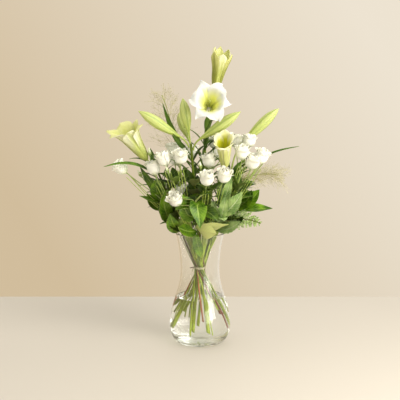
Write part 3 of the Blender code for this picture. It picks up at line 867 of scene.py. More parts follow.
def shoot_lines(count):
    """Thin shoots between the stems: straight lines that cross in the tie as the stems do.

    Each leans by the golden angle from the last, and passes the axis at the tie on the side that
    the stems spiral to.
    """
    low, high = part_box("twine_tie")
    tie = (low.z + high.z) / 2
    inside = min(high.x - low.x, high.y - low.y) / 2
    draws = np.random.default_rng(17)
    for order in range(count):
        angle = order * GOLDEN_ANGLE + 0.4
        out = np.array([math.cos(angle), math.sin(angle), 0.0])
        beside = np.array([-math.sin(angle), math.cos(angle), 0.0])
        middle = beside * inside * draws.uniform(0.2, 0.6) + UP * tie
        top = middle + out * draws.uniform(0.045, 0.06) + beside * 0.006 + UP * 0.14
        foot = middle - (top - middle) * draws.uniform(0.6, 1.0)
        yield flowing(np.array([foot, middle, top]), 60), draws.uniform(0.0009, 0.0017)
    # Half as many thin ones fill the left of the neck, and end short below the tie
    for order in range(count // 2):
        angle = math.pi + draws.uniform(-0.6, 0.6)
        out = np.array([math.cos(angle), math.sin(angle), 0.0])
        middle = out * inside * draws.uniform(-0.5, 0.7) + UP * tie
        top = middle + out * draws.uniform(0.03, 0.062) + UP * 0.115
        foot = middle - (top - middle) * 0.3
        yield flowing(np.array([foot, middle, top]), 60), draws.uniform(0.0008, 0.0013)


def bloom_shoots():
    """A long thin shoot from the tie, inside the rim, up to each front bloom."""
    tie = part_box("twine_tie")[1].z
    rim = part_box("vase")[1].z
    for name in nodes_named("lisianthus_bloom"):
        centres, halves = stalk_line(name, 0.0025, 0.03)
        calyx = centres[np.argmax(halves > 0.0022) - 3]
        if calyx[1] > 0:
            continue
        out = unit(calyx * [1, 1, 0] - [0, 0.02, 0])
        start = out * 0.01 + UP * (tie + 0.004)
        inside = out * 0.046 + UP * (rim + 0.006)
        beyond = inside * 0.4 + calyx * 0.6 + out * 0.004
        for aside in (0.0, 0.007, -0.006):
            stray = np.array([aside, 0.0, 0.0])
            end = calyx + stray - UP * abs(aside)
            yield flowing(np.array([start, inside + stray * 0.4, beyond + stray, end]), 60)


class MakeStems(bpy.types.Operator):
    """Grows every cut stem, jointed and finely lined, from its foot in the water to its head"""

    bl_idname = "bouquet.stems"
    bl_label = "Stems"

    def execute(self, context):
        look = context.scene.stem_look
        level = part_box("water")[1].z
        green = stem_paint("green_stem", look.green, look.pale, level - 0.09, level + 0.14)
        wood = stem_paint(
            "woody_stem", look.bark, look.wood, level, level + 0.1, 0.6, (0.42, 0.13, 0.05),
        )
        straw = stem_paint("grass_stem", (0.42, 0.46, 0.16), look.pale, level, level + 0.1)
        for order, (name, (line, radius)) in enumerate(STEM_LINES.items()):
            kind = name.split("_")[0]
            paint = {"salal": wood, "grass": straw}.get(kind, green)
            slot = {"salal": "woody_stem", "grass": "grass", "fern": "fern"}.get(kind, "green_stem")
            sheaf = Sheaf()
            tone = (order * TONE_STEP) % 1
            grid = stem_grid(line, radius, look, order, 8 if kind == "grass" else 14)
            sheaf.add(grid, tone=tone)
            sheaf.make(name + "_grown", [paint], slot, [name])
        sheaf = Sheaf()
        for order, (line, radius) in enumerate(shoot_lines(look.shoots)):
            grid = stem_grid(line, radius, look, order * 1.7, 10)
            sheaf.add(grid, tone=(order * TONE_STEP + 0.2) % 1)
        for order, line in enumerate(bloom_shoots()):
            grid = stem_grid(line, 0.00085, look, order * 1.3, 8)
            sheaf.add(grid, tone=1.0, paint=1)
        pale = stem_paint("bloom_shoot", (0.33, 0.42, 0.08), look.pale, level, level + 0.2)
        sheaf.make("side_shoots", [green, pale], "green_stem")
        return {"FINISHED"}


# ---- lilies ----------------------------------------------------------------------------------


class LilyLook(bpy.types.PropertyGroup):
    bud_foot: colour_choice("Bud foot", "Colour of a bud at its stalk", (0.46, 0.56, 0.09))
    bud_tip: colour_choice("Bud tip", "Colour of a bud at its tip", (0.51, 0.57, 0.18))
    bud_keel: colour_choice("Keels", "Colour of the keels and seams of a bud", (0.24, 0.34, 0.045))
    petal: colour_choice("Petals", "Colour of the open lily", (0.7, 0.71, 0.665))
    throat: colour_choice("Throat", "Colour of the open lily's throat", (0.86, 0.88, 0.24))
    young: colour_choice("Young petals", "Colour of the half-open lilies", (0.84, 0.84, 0.6))
    bend: length_choice("Bend", "How far a bud bows below its own line", 0.0022)
    petal_thickness: length_choice("Petal thickness", "Thickness of a lily petal", 0.0009)


class MakeLilyBuds(bpy.types.Operator):
    """Grows the closed lily buds: three keeled outer petals that meet at three grooved seams"""

    bl_idname = "bouquet.lily_buds"
    bl_label = "Lily buds"

    def execute(self, context):
        look = context.scene.lily_look
        paint = bud_paint("lily_bud", look)
        for order, name in enumerate(nodes_named("lily_bud")):
            centres, halves = stalk_line(name, 0.003, 0.03)
            tip = centres[-1]
            centres = np.vstack([centres, tip + unit(tip - centres[-3]) * 0.0025])
            halves = np.append(halves, 0.0007)
            line = flowing(smooth(centres, 4), 110)
            share = np.linspace(0, 1, 110)
            radius = np.interp(share, np.linspace(0, 1, len(halves)), smooth(halves, 3))
            radius = np.maximum(smooth(radius, 8), 0.0006)
            swollen = np.clip((radius - 0.0024) / 0.006, 0, 1)
            line = line - UP * (np.sin(share * math.pi) ** 2 * look.bend)[:, None]
            grid = tube(line, np.ones(110), 48) - line[:, None, :]
            angle = np.arange(48) * TURN / 48
            # Keels stand out on three angles, and seams are cut half-way between them
            keel = np.exp(-(np.sin(1.5 * angle) / 0.22) ** 2)
            seam = np.exp(-(np.cos(1.5 * angle) / 0.16) ** 2)
            rib = np.exp(-(np.cos(1.5 * angle) / 0.07) ** 2)
            relief = 1 + swollen[:, None] * (0.05 * keel - 0.15 * seam + 0.1 * rib)
            grid = line[:, None, :] + grid * (radius[:, None] * relief)[..., None]
            sheaf = Sheaf()
            sheaf.add(grid, tone=(order * 0.37) % 1)
            sheaf.make(name + "_grown", [paint], "lily_bud", [name])
        return {"FINISHED"}


def tepal(out, along, half, turn, roll, wave, fold, columns=17):
    """One petal wrapped round the local Z axis.

    Its points are at the midline's distance out and height along, turned by up to the half angle
    to either side. Its margins roll outwards by the roll and ruffle by the wave, both growing
    from its base to its tip, and the fold presses its midrib in.
    """
    across = np.linspace(-1, 1, columns)
    share = np.linspace(0, 1, len(out))[:, None]
    ruffle = wave * np.sin(share * 13 + across * 2.4 + turn * 3) * across**2 * share
    crease = fold * np.exp(-((across / 0.16) ** 2)) * np.sin(share * math.pi)
    away = out[:, None] + roll * across**2 * share**2 + ruffle - crease
    angle = turn + across * half[:, None]
    height = along[:, None] - roll * 0.4 * across**2 * share**3 + ruffle * 0.7
    return np.stack([away * np.cos(angle), away * np.sin(angle), height], axis=-1)


def ogive(share, shoulder, bluntness):
    """A width that holds at one up to its shoulder and then closes to a point."""
    past = np.clip((share - shoulder) / (1 - shoulder), 0, 1)
    return 1 - past**bluntness


# How each half-open lily stands: the share by which the petals on one side are the taller, the
# way to that side, how wide the petals part, how far their tips lean out, how far each wraps and
# how slender the bell is below its mouth
TRUMPET_POSTURES = (
    (0.09, (0.0, 0.6, 0.8), 1.16, -0.005, 1.05, 0.9),
    (0.13, (-0.75, 0.2, 0.0), 1.0, 0.007, 1.1, 0.9),
    (0.13, (0.2, 0.6, 0.8), 0.74, 0.002, 1.35, 0.6),
)

# The reach of a bell's wall from its axis, as a share of its mouth's, along its height
BELL_HEIGHTS = (0, 0.08, 0.22, 0.45, 0.68, 0.84, 1.0)
BELL_REACHES = (0.05, 0.22, 0.36, 0.5, 0.71, 0.92, 1.14)
BELL_FOOT = 0.0024


def trumpet_paints(look):
    """Each half-open lily's inside, outer petals' outside, inner petals' outside, and turning.

    Each colour goes from the petal's base to its edge, and turns over from this share on.
    """
    throat = ((0.42, 0.46, 0.01), (0.72, 0.73, 0.3))
    deep = ((0.62, 0.63, 0.01), (0.84, 0.82, 0.5))
    return (
        (throat, ((0.25, 0.27, 0.025), (0.6, 0.59, 0.2)), ((0.42, 0.45, 0.09), (0.8, 0.79, 0.44)), 0.5),
        (throat, ((0.4, 0.46, 0.1), look.young), ((0.56, 0.59, 0.2), (0.86, 0.85, 0.64)), 0.4),
        (deep, ((0.6, 0.62, 0.2), (0.84, 0.82, 0.55)), ((0.7, 0.7, 0.34), (0.88, 0.86, 0.66)), 0.78),
    )


def trumpet_petal(number, lip, bell, posture):
    """One petal of a bell, in local places: the outer ones are narrower and stand farther out.

    It rises along the bell's reaches, and its last quarter leans out by the square of its share.
    """
    taller, _, _, lean, wrap, slender = posture
    outer = number % 2 == 0
    angle = number * TURN / 6
    share = np.linspace(0, 1, 48)
    flare = np.interp(share, BELL_HEIGHTS, BELL_REACHES)
    out = smooth(BELL_FOOT + (lip - BELL_FOOT) * flare**slender, 4) * (1.0 if outer else 0.9)
    last = np.clip((share - 0.76) / 0.24, 0, 1)
    out = out + lean * last**2
    stretch = 1.03 + taller * math.cos(angle) * share
    along = bell * share * stretch - (0.004 + lean * 0.5) * last**2
    shoulder = 0.66 + 0.4 * (wrap - 1)
    if outer:
        half = 0.64 * ogive(share, shoulder, 1.8)
        roll = 0.001 + lean * 0.4
    else:
        half = 0.76 * ogive(share, shoulder + 0.06, 2.2)
        roll = 0.002 + lean * 1.2
    return tepal(out, along, np.maximum(half * wrap, 0.02), angle, roll, 0.0009, 0.0016)


class MakeTrumpets(bpy.types.Operator):
    """Grows the half-open lilies: six long petals round a bell, their tips starting to curl"""

    bl_idname = "bouquet.trumpets"
    bl_label = "Half-open lilies"

    def execute(self, context):
        look = context.scene.lily_look
        stalk_green = stem_paint("lily_stalk", look.bud_foot, look.bud_foot, 0.0, 1.0)
        colours = trumpet_paints(look)
        for order, name in enumerate(nodes_named("lily_trumpet")):
            inside, outer_side, inner_side, turning = colours[order]
            outer_petal = petal_paint(
                name + "_outer", inside, outer_side, (turning, 1.1), (0.6, 0.62, 0.2),
                (0.7, outer_side[0]), 0.45,
            )
            inner_petal = petal_paint(
                name + "_inner", inside, inner_side, (turning, 1.05), (0.72, 0.73, 0.34),
                (0.35, inner_side[0]), 0.45,
            )
            sheaf = self.grow(name, look, order)
            paints = [outer_petal, stalk_green, inner_petal]
            sheaf.make(name + "_grown", paints, "half_open_lily", [name])
        return {"FINISHED"}

    def grow(self, name, look, order):
        """A stalk up to where the solid widens, and six petals round the solid's way from there."""
        _, tall_side, wide, _, _, _ = posture = TRUMPET_POSTURES[order]
        centres, halves = stalk_line(name, 0.003, 0.045)
        way = unit(centres[-3] - centres[-18])
        first = np.argmax(halves > 0.003)
        throat, lip = centres[first], halves[-1] * wide
        bell = ((solid(name)[0] - throat) @ way).max()
        sheaf = Sheaf()
        stalk = flowing(smooth(np.vstack([centres[:first], throat + way * 0.004]), 3), 40)
        sheaf.add(tube(stalk, np.linspace(0.0022, 0.0034, 40), 14), paint=1)
        turn, _ = standing(throat, way)
        upper = turn @ np.array(tall_side)
        place = standing(throat, way, math.atan2(upper[1], upper[0]))
        for petal in range(6):
            sheet = trumpet_petal(petal, lip, bell, posture)
            skin = both_sides(placed(sheet, place), look.petal_thickness)
            tone = (petal * 0.29 + order * 0.4) % 1
            sheaf.add(skin, tone=tone, paint=0 if petal % 2 == 0 else 2)
        return sheaf


class MakeOpenLily(bpy.types.Operator):
    """Grows the open lily: six wide petals that flare and roll back, a pistil and six stamens"""

    bl_idname = "bouquet.open_lily"
    bl_label = "Open lily"

    def execute(self, context):
        look = context.scene.lily_look
        petal = petal_paint(
            "lily_petal", (look.throat, look.petal), ((0.6, 0.64, 0.3), look.petal), (0.42, 0.9),
            (0.72, 0.73, 0.54), (0.3, (0.7, 0.74, 0.45)), 0.42,
        )
        inside = stem_paint("lily_inside", (0.44, 0.5, 0.12), (0.4, 0.48, 0.1), 0.0, 1.0)
        pollen = dry_paint("lily_pollen", (0.74, 0.74, 0.34), (0.6, 0.6, 0.22))
        centres, halves = walk("lily_pistil", lowest("lily_pistil"), 0.0046, 0.002, 0.008)
        way = unit(centres[-1] - centres[-12])
        petals = nodes_named("lily_petal")
        corners = np.concatenate([solid(name)[0] for name in petals])
        heights = (corners - centres[-1]) @ way
        length = heights.max() - heights.min()
        base = centres[-1] + way * (heights.min() - 0.03 * length)
        off = corners - base - ((corners - base) @ way)[:, None] * way
        spread = np.linalg.norm(off, axis=1).max()
        first = solid(petals[0])[0].mean(axis=0) - base
        turn, _ = standing(base, way)
        place = standing(base, way, math.atan2(first @ turn[1], first @ turn[0]))
        for number, name in enumerate(petals):
            sheet = self.petal(number, length, spread)
            sheaf = Sheaf()
            skin = both_sides(placed(sheet, place), look.petal_thickness)
            sheaf.add(skin, tone=(number * 0.37) % 1)
            sheaf.make(name + "_grown", [petal], "lily_petal", [name])
        sheaf = Sheaf()
        self.pistil(sheaf, centres, halves, way)
        self.stamens(sheaf, length, place)
        sheaf.make("lily_pistil_grown", [inside, pollen], "lily_pistil", ["lily_pistil"])
        return {"FINISHED"}

    def petal(self, number, length, spread):
        """A funnel's sixth that opens steadily, then flares and rolls back at its tip."""
        outer = number % 2
        share = np.linspace(0, 1, 60)
        reach = spread * (1.0 if outer else 0.95) * (1 + 0.07 * math.sin(number * 2.3))
        out = reach * (0.12 + 0.66 * share + 0.18 * share**3)
        along = length * (0.2 + 0.74 * np.sin(np.minimum(share * 1.1, 1.0) * math.pi / 2))
        along = smooth(along - length * 0.6 * np.clip(share - 0.7, 0, 1) ** 1.4, 4)
        width = (0.022 if outer else 0.0265) * ogive(share, 0.56, 1.8 if outer else 2.1)
        half = np.minimum(np.maximum(width, 0.0004) / out, 0.7 if outer else 0.84)
        roll = 0.002 if outer else 0.005
        return tepal(out, along, half, number * TURN / 6, roll, 0.003, 0.0014, 25)

    def pistil(self, sheaf, centres, halves, way):
        """The stalk along the solid's own middles, and on it a stigma: a knob of three lobes."""
        stalk = flowing(smooth(centres, 4), 90)
        reach = np.interp(np.linspace(0, 1, 90), np.linspace(0, 1, len(halves)), halves)
        sheaf.add(tube(stalk, smooth(reach, 2), 12))
        knob = flowing(np.array([centres[-3], centres[-1], centres[-1] + way * 0.003]), 12)
        swell = 0.0013 + 0.0013 * np.sin(np.linspace(0.2, 3.0, 12)) ** 0.8
        sheaf.add(tube(knob, swell, 24, 0.2, 3))

    def stamens(self, sheaf, length, place):
        """Six threads that bow outwards between the petals, each with a grooved anther."""
        turns = np.arange(6) * TURN / 6 + TURN / 12
        ray = np.stack([np.cos(turns), np.sin(turns), np.zeros(6)], axis=-1)
        start = ray * 0.003 + UP * length * 0.2
        end = ray * 0.0105 + UP * length * 0.5
        lines = arc_through(start, (start + end) / 2 - ray * 0.003, end, 20)
        sheaf.add(tube(placed(lines, place), np.full((6, 20), 0.0007), 8))
        anthers = arc_through(end - UP * 0.002, end + ray * 0.001 + UP * 0.002, end + UP * 0.007, 14)
        swell = 0.0003 + 0.0008 * np.sin(np.linspace(0, math.pi, 14)) ** 0.6
        swell = np.broadcast_to(swell, (6, 14))
        sheaf.add(tube(placed(anthers, place), swell, 10, 0.15, 2), paint=1)


# ---- lisianthus ------------------------------------------------------------------------------


class LisianthusLook(bpy.types.PropertyGroup):
    petal: colour_choice("Petals", "Colour of the petals", (0.95, 0.94, 0.82))
    petal_foot: colour_choice("Petal foot", "Colour of the petals at their base", (0.66, 0.72, 0.4))
    stalk: colour_choice("Stalks", "Colour of the stalks and sepals", (0.34, 0.44, 0.14))
    ruffle: length_choice("Ruffle", "Height of the waves in a petal's edge", 0.0024)


# Blooms and buds that are too small or too hidden for a solid of their own: the stem, how far
# before its head each stalk leaves it, the calyx from the stem's head, the way it faces and its
# size as a share of a full bloom
SMALL_BLOOMS = {
    "lisianthus_small_1": ("lisianthus_stem_2", 0.02, (-0.009, 0.055, 0.07), (-0.2, 0.1, 1.0), 0.85),
    "lisianthus_small_2": ("lisianthus_stem_2", 0.05, (0.006, 0.01, -0.022), (0.1, -0.3, 0.9), 0.8),
    "lisianthus_small_3": ("lisianthus_stem_4", 0.02, (0.002, 0.062, 0.096), (-0.1, 0.1, 1.0), 0.95),
    "lisianthus_small_4": ("lisianthus_stem_5", 0.03, (0.03, -0.042, 0.082), (0.1, -0.1, 1.0), 0.9),
    "lisianthus_small_6": ("lisianthus_stem_4", 0.03, (0.034, -0.01, 0.052), (0.2, -0.3, 0.9), 1.1),
    "lisianthus_small_7": ("lisianthus_stem_4", 0.04, (-0.022, 0.05, 0.102), (-0.1, 0.0, 1.0), 1.00),
    "lisianthus_small_5": ("lisianthus_stem_5", 0.04, (-0.062, 0.03, 0.032), (-0.5, 0.2, 0.9), 0.9),
}
SMALL_BUDS = {
    "lisianthus_bud_1": ("lisianthus_stem_1", 0.03, (-0.052, -0.01, 0.128), (-0.1, -0.1, 1.0), 0.62),
    "lisianthus_bud_2": ("lisianthus_stem_3", 0.03, (-0.018, -0.036, 0.066), (-0.1, -0.2, 1.0), 0.55),
    "lisianthus_bud_3": ("lisianthus_stem_4", 0.03, (0.066, -0.004, 0.068), (0.6, 0.0, 0.9), 0.6),
    "lisianthus_bud_4": ("lisianthus_stem_2", 0.03, (-0.02, -0.03, 0.036), (-0.3, -0.3, 1.0), 0.5),
    "lisianthus_bud_5": ("lisianthus_stem_5", 0.03, (0.06, 0.046, 0.06), (0.5, 0.5, 0.8), 0.6),
    "lisianthus_bud_6": ("lisianthus_stem_1", 0.04, (-0.076, 0.05, 0.07), (-0.6, 0.3, 0.8), 0.6),
}


def small_stalk(stem, before, base, way, count=24):
    """A stalk from a stem, a length before its head, to a calyx, arriving along its facing."""
    line, _ = STEM_LINES[stem]
    head = line[-1]
    start = line[np.argmin(np.abs(np.linalg.norm(line - head, axis=1) - before))]
    rise = unit(line[-1] - line[0])
    span = np.linalg.norm(base - start)
    points = np.array([start, start + rise * span * 0.25, base - way * span * 0.35, base])
    t = np.linspace(0, 1, count)[:, None]
    weights = [(1 - t) ** 3, 3 * t * (1 - t) ** 2, 3 * t**2 * (1 - t), t**3]
    return sum(weight * point for weight, point in zip(weights, points))


# The whorls of a bloom from the outermost in: size, petals, height, how its rim turns out
WHORLS = (
    (1.1, 4, 0.84, 0.34), (1.04, 3, 0.96, 0.16), (0.88, 4, 1.0, -0.02), (0.66, 4, 1.0, -0.2),
    (0.42, 4, 0.98, -0.4),
)


def bloom_skins(radius, length, seed, look, rows=14, columns=15):
    """A double bloom in local places: whorls of wide overlapping petals, tighter inwards.

    Each petal rises from the calyx and wraps round the bloom; one of its margins goes under its
    neighbour and the other stands off. Its rim is rounded and ruffled.
    """
    draws = np.random.default_rng(seed)
    across = np.linspace(-1, 1, columns)
    share = np.linspace(0, 1, rows)[:, None]
    for whorl, (size, count, tall, roll) in enumerate(WHORLS):
        for petal in range(count):
            middle = (petal + 0.41 * whorl) * TURN / count + draws.normal(0, 0.12)
            swell = np.interp(
                share[:, 0], [0, 0.1, 0.26, 0.5, 0.8, 1.0], [0.18, 0.52, 0.84, 0.98, 1.0, 0.95 + roll],
            )
            open_by = 1.05 * (3 / count) ** 0.75
            half = open_by * np.interp(share[:, 0], [0, 0.3, 0.75, 0.9, 1], [0.98, 1.0, 1, 0.88, 0.6])
            out = radius * size * swell[:, None] * (1 + 0.07 * across * share)
            wave = look.ruffle * share**4 * np.sin(5 * across * half[:, None] + middle * 5)
            out = out + wave * (0.5 + 0.5 * np.abs(across))
            angle = middle + across * half[:, None]
            height = length * tall * share * (1 + draws.normal(0, 0.04)) + wave * 0.6
            height = height - length * 0.05 * across**2 * share**2
            sheet = np.stack([out * np.cos(angle), out * np.sin(angle), height], axis=-1)
            yield both_sides(sheet, 0.0005), draws.uniform(0, 1)


def add_bloom(sheaf, stalk, base, way, radius, length, seed, look, petals=True):
    """A stalk, its cup of five narrow sepals, and either open petals or a furled bud."""
    sheaf.add(tube(stalk, np.linspace(0.0010, 0.0013, len(stalk)), 8), paint=1)
    place = standing(base, way, seed * 0.7)
    add_sepals(sheaf, place, radius, length, petals)
    cup = flowing(np.array([base - way * 0.002, base + way * 0.001, base + way * length * 0.14]), 8)
    sheaf.add(tube(cup, np.linspace(0.0012, radius * 0.3, 8), 12), paint=1)
    if petals:
        for skin, tone in bloom_skins(radius * 0.89, length, seed, look):
            sheaf.add(placed(skin, place), tone=tone)
    # A furled bud, or a bloom's heart: a spindle of five folds that twist to its tip
    share = np.linspace(0, 1, 26)
    swell = np.sin(np.clip(share * 0.97 + 0.03, 0, 1) ** 0.8 * math.pi) ** 0.8
    swell = swell * radius * (0.3 if petals else 0.62)
    line = np.outer(share, UP) * length * (0.9 if petals else 1.0)
    spindle = tube(line, np.maximum(swell, 0.0003), 30, 0.13, 5, 3.4)
    sheaf.add(placed(spindle, place), tone=0.4)


def add_sepals(sheaf, place, radius, length, petals):
    """Five narrow sepals that hug the bloom by a sine of their share, and part more when open."""
    share = np.linspace(0, 1, 10)
    turns = np.arange(5) * TURN / 5
    hug, part, tall = (0.55, 0.5, 0.62) if petals else (0.5, 0.1, 0.5)
    out = (0.0014 + radius * hug * np.sin(share * 1.5)) * (1.0 + part * share**2)
    ray = np.stack([np.cos(turns), np.sin(turns), np.zeros(5)], axis=-1)
    sepals = ray[:, None, :] * out[:, None] + UP * (length * tall * share)[:, None]
    width = np.maximum(0.0015 * np.sin(np.clip(share * 0.9 + 0.12, 0, 1) * math.pi), 0.0002)
    sheaf.add(tube(placed(sepals, place), np.broadcast_to(width, (5, 10)), 6), paint=1)


class MakeLisianthus(bpy.types.Operator):
    """Grows the lisianthus: ruffled double blooms and furled buds on thin stalks"""

    bl_idname = "bouquet.lisianthus"
    bl_label = "Lisianthus"

    def execute(self, context):
        look = context.scene.lisianthus_look
        white = (look.petal_foot, look.petal)
        petal = petal_paint(
            "lisianthus_petal", white, white, (0.08, 0.55), (0.86, 0.86, 0.74),
            (0.12, (0.78, 0.8, 0.55)), 0.6, 0.08,
        )
        green = ((0.42, 0.52, 0.18), (0.8, 0.83, 0.6))
        bud = petal_paint(
            "lisianthus_bud", green, green, (0.3, 0.8), (0.55, 0.62, 0.3),
            (0.0, (0.5, 0.6, 0.3)), 0.5,
        )
        stalk_green = stem_paint("lisianthus_stalk", look.stalk, look.stalk, 0.0, 1.0)
        for order, name in enumerate(nodes_named("lisianthus_bloom")):
            centres, halves = stalk_line(name, 0.0025, 0.03)
            calyx = np.argmax(halves > 0.0022)
            base = centres[calyx]
            way = unit(centres[calyx + 5] - centres[calyx])
            length = ((solid(name)[0] - base) @ way).max() + 0.0015
            stalk = flowing(smooth(np.vstack([centres[:calyx], base]), 3), 30)
            sheaf = Sheaf()
            add_bloom(sheaf, stalk, base, way, halves.max(), length, order + 1, look)
            sheaf.make(name + "_grown", [petal, stalk_green], "lisianthus_bloom", [name])
        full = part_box("lisianthus_bloom_8")
        size = (full[1] - full[0]).x / 2
        for kind, table in ((True, SMALL_BLOOMS), (False, SMALL_BUDS)):
            for order, (name, (stem, before, offset, facing, share)) in enumerate(table.items()):
                way = unit(np.array(facing))
                base = STEM_LINES[stem][0][-1] + offset
                stalk = small_stalk(stem, before, base, way)
                radius = size * share * (1.0 if kind else 0.55)
                sheaf = Sheaf()
                add_bloom(sheaf, stalk, base, way, radius, size * 2.1 * share, order + 40, look, kind)
                sheaf.make(name, [petal if kind else bud, stalk_green], "lisianthus_bloom")
        return {"FINISHED"}


# ---- leaves ----------------------------------------------------------------------------------


class LeafLook(bpy.types.PropertyGroup):
    broad_dark: colour_choice(
        "Broad, dark", "Darker green of the broad leaves", (0.025, 0.08, 0.003),
    )
    broad_light: colour_choice(
        "Broad, light", "Lighter green of the broad leaves", (0.15, 0.28, 0.008),
    )
    broad_under: colour_choice("Broad, under", "Underside of the broad leaves", (0.5, 0.53, 0.18))
    sage: colour_choice("Sage", "Grey-green of the sage leaves", (0.12, 0.22, 0.05))
    thickness: length_choice("Thickness", "Thickness of a leaf", 0.0005)


# How far each style of leaf folds up from its midrib, and how far its margins wave
LEAF_RELIEF = {"broad": (0.22, 0.09), "sage": (0.12, 0.1), "lily": (0.3, 0.05), "lisianthus": (0.28, 0.06)}


def leaf_skin(spine, halves, facing, look, style, seed, rows=36, columns=15):
    """A leaf's closed skin along its spine.

    Its sides fold up from the midrib, its margins wave, and a broad or sage leaf pillows between
    its side veins. A sage leaf's margin is scalloped.
    """
    spine = flowing(smooth(spine, 3), rows)
    share = np.linspace(0, 1, rows)
    halves = np.interp(share, np.linspace(0, 1, len(halves)), smooth(halves, 2))
    halves[-1] = 0.0003
    if style == "sage":
        halves = halves * (1 + 0.09 * np.sin(share * 60) * np.sin(share * math.pi))
    way = unit(np.gradient(spine, axis=0))
    up = unit(facing - way * (way @ facing)[:, None])
    right = np.cross(way, up)
    across = np.linspace(-1, 1, columns)
    off = np.abs(across)
    fold, wave = LEAF_RELIEF[style]
    lift = fold * (off**1.4 - 0.35)
    lift = lift + wave * np.sin(share[:, None] * 10 + seed * 2.1 + (across > 0) * 1.9) * off**2
    if style in ("broad", "sage"):
        vein = np.cos((share[:, None] * 11 - off * 2.4) * TURN)
        lift = lift - 0.016 * vein * np.sin(off * math.pi) ** 0.7
    lift = lift - 0.05 * np.exp(-((off / 0.1) ** 2))
    sheet = spine[:, None, :] + halves[:, None, None] * (
        right[:, None, :] * across[:, None] + up[:, None, :] * lift[..., None]
    )
    return both_sides(sheet, look.thickness)


def leaf_outline(share, width, widest):
    """A leaf's half-widths: a thin stalk, then a rise to its widest and a drawn-out tip."""
    blade = np.clip((share - 0.08) / 0.92, 0, 1)
    power = math.log(0.5) / math.log(widest)
    return np.maximum(width / 2 * np.sin(math.pi * blade**power) ** 0.9, 0.0008)
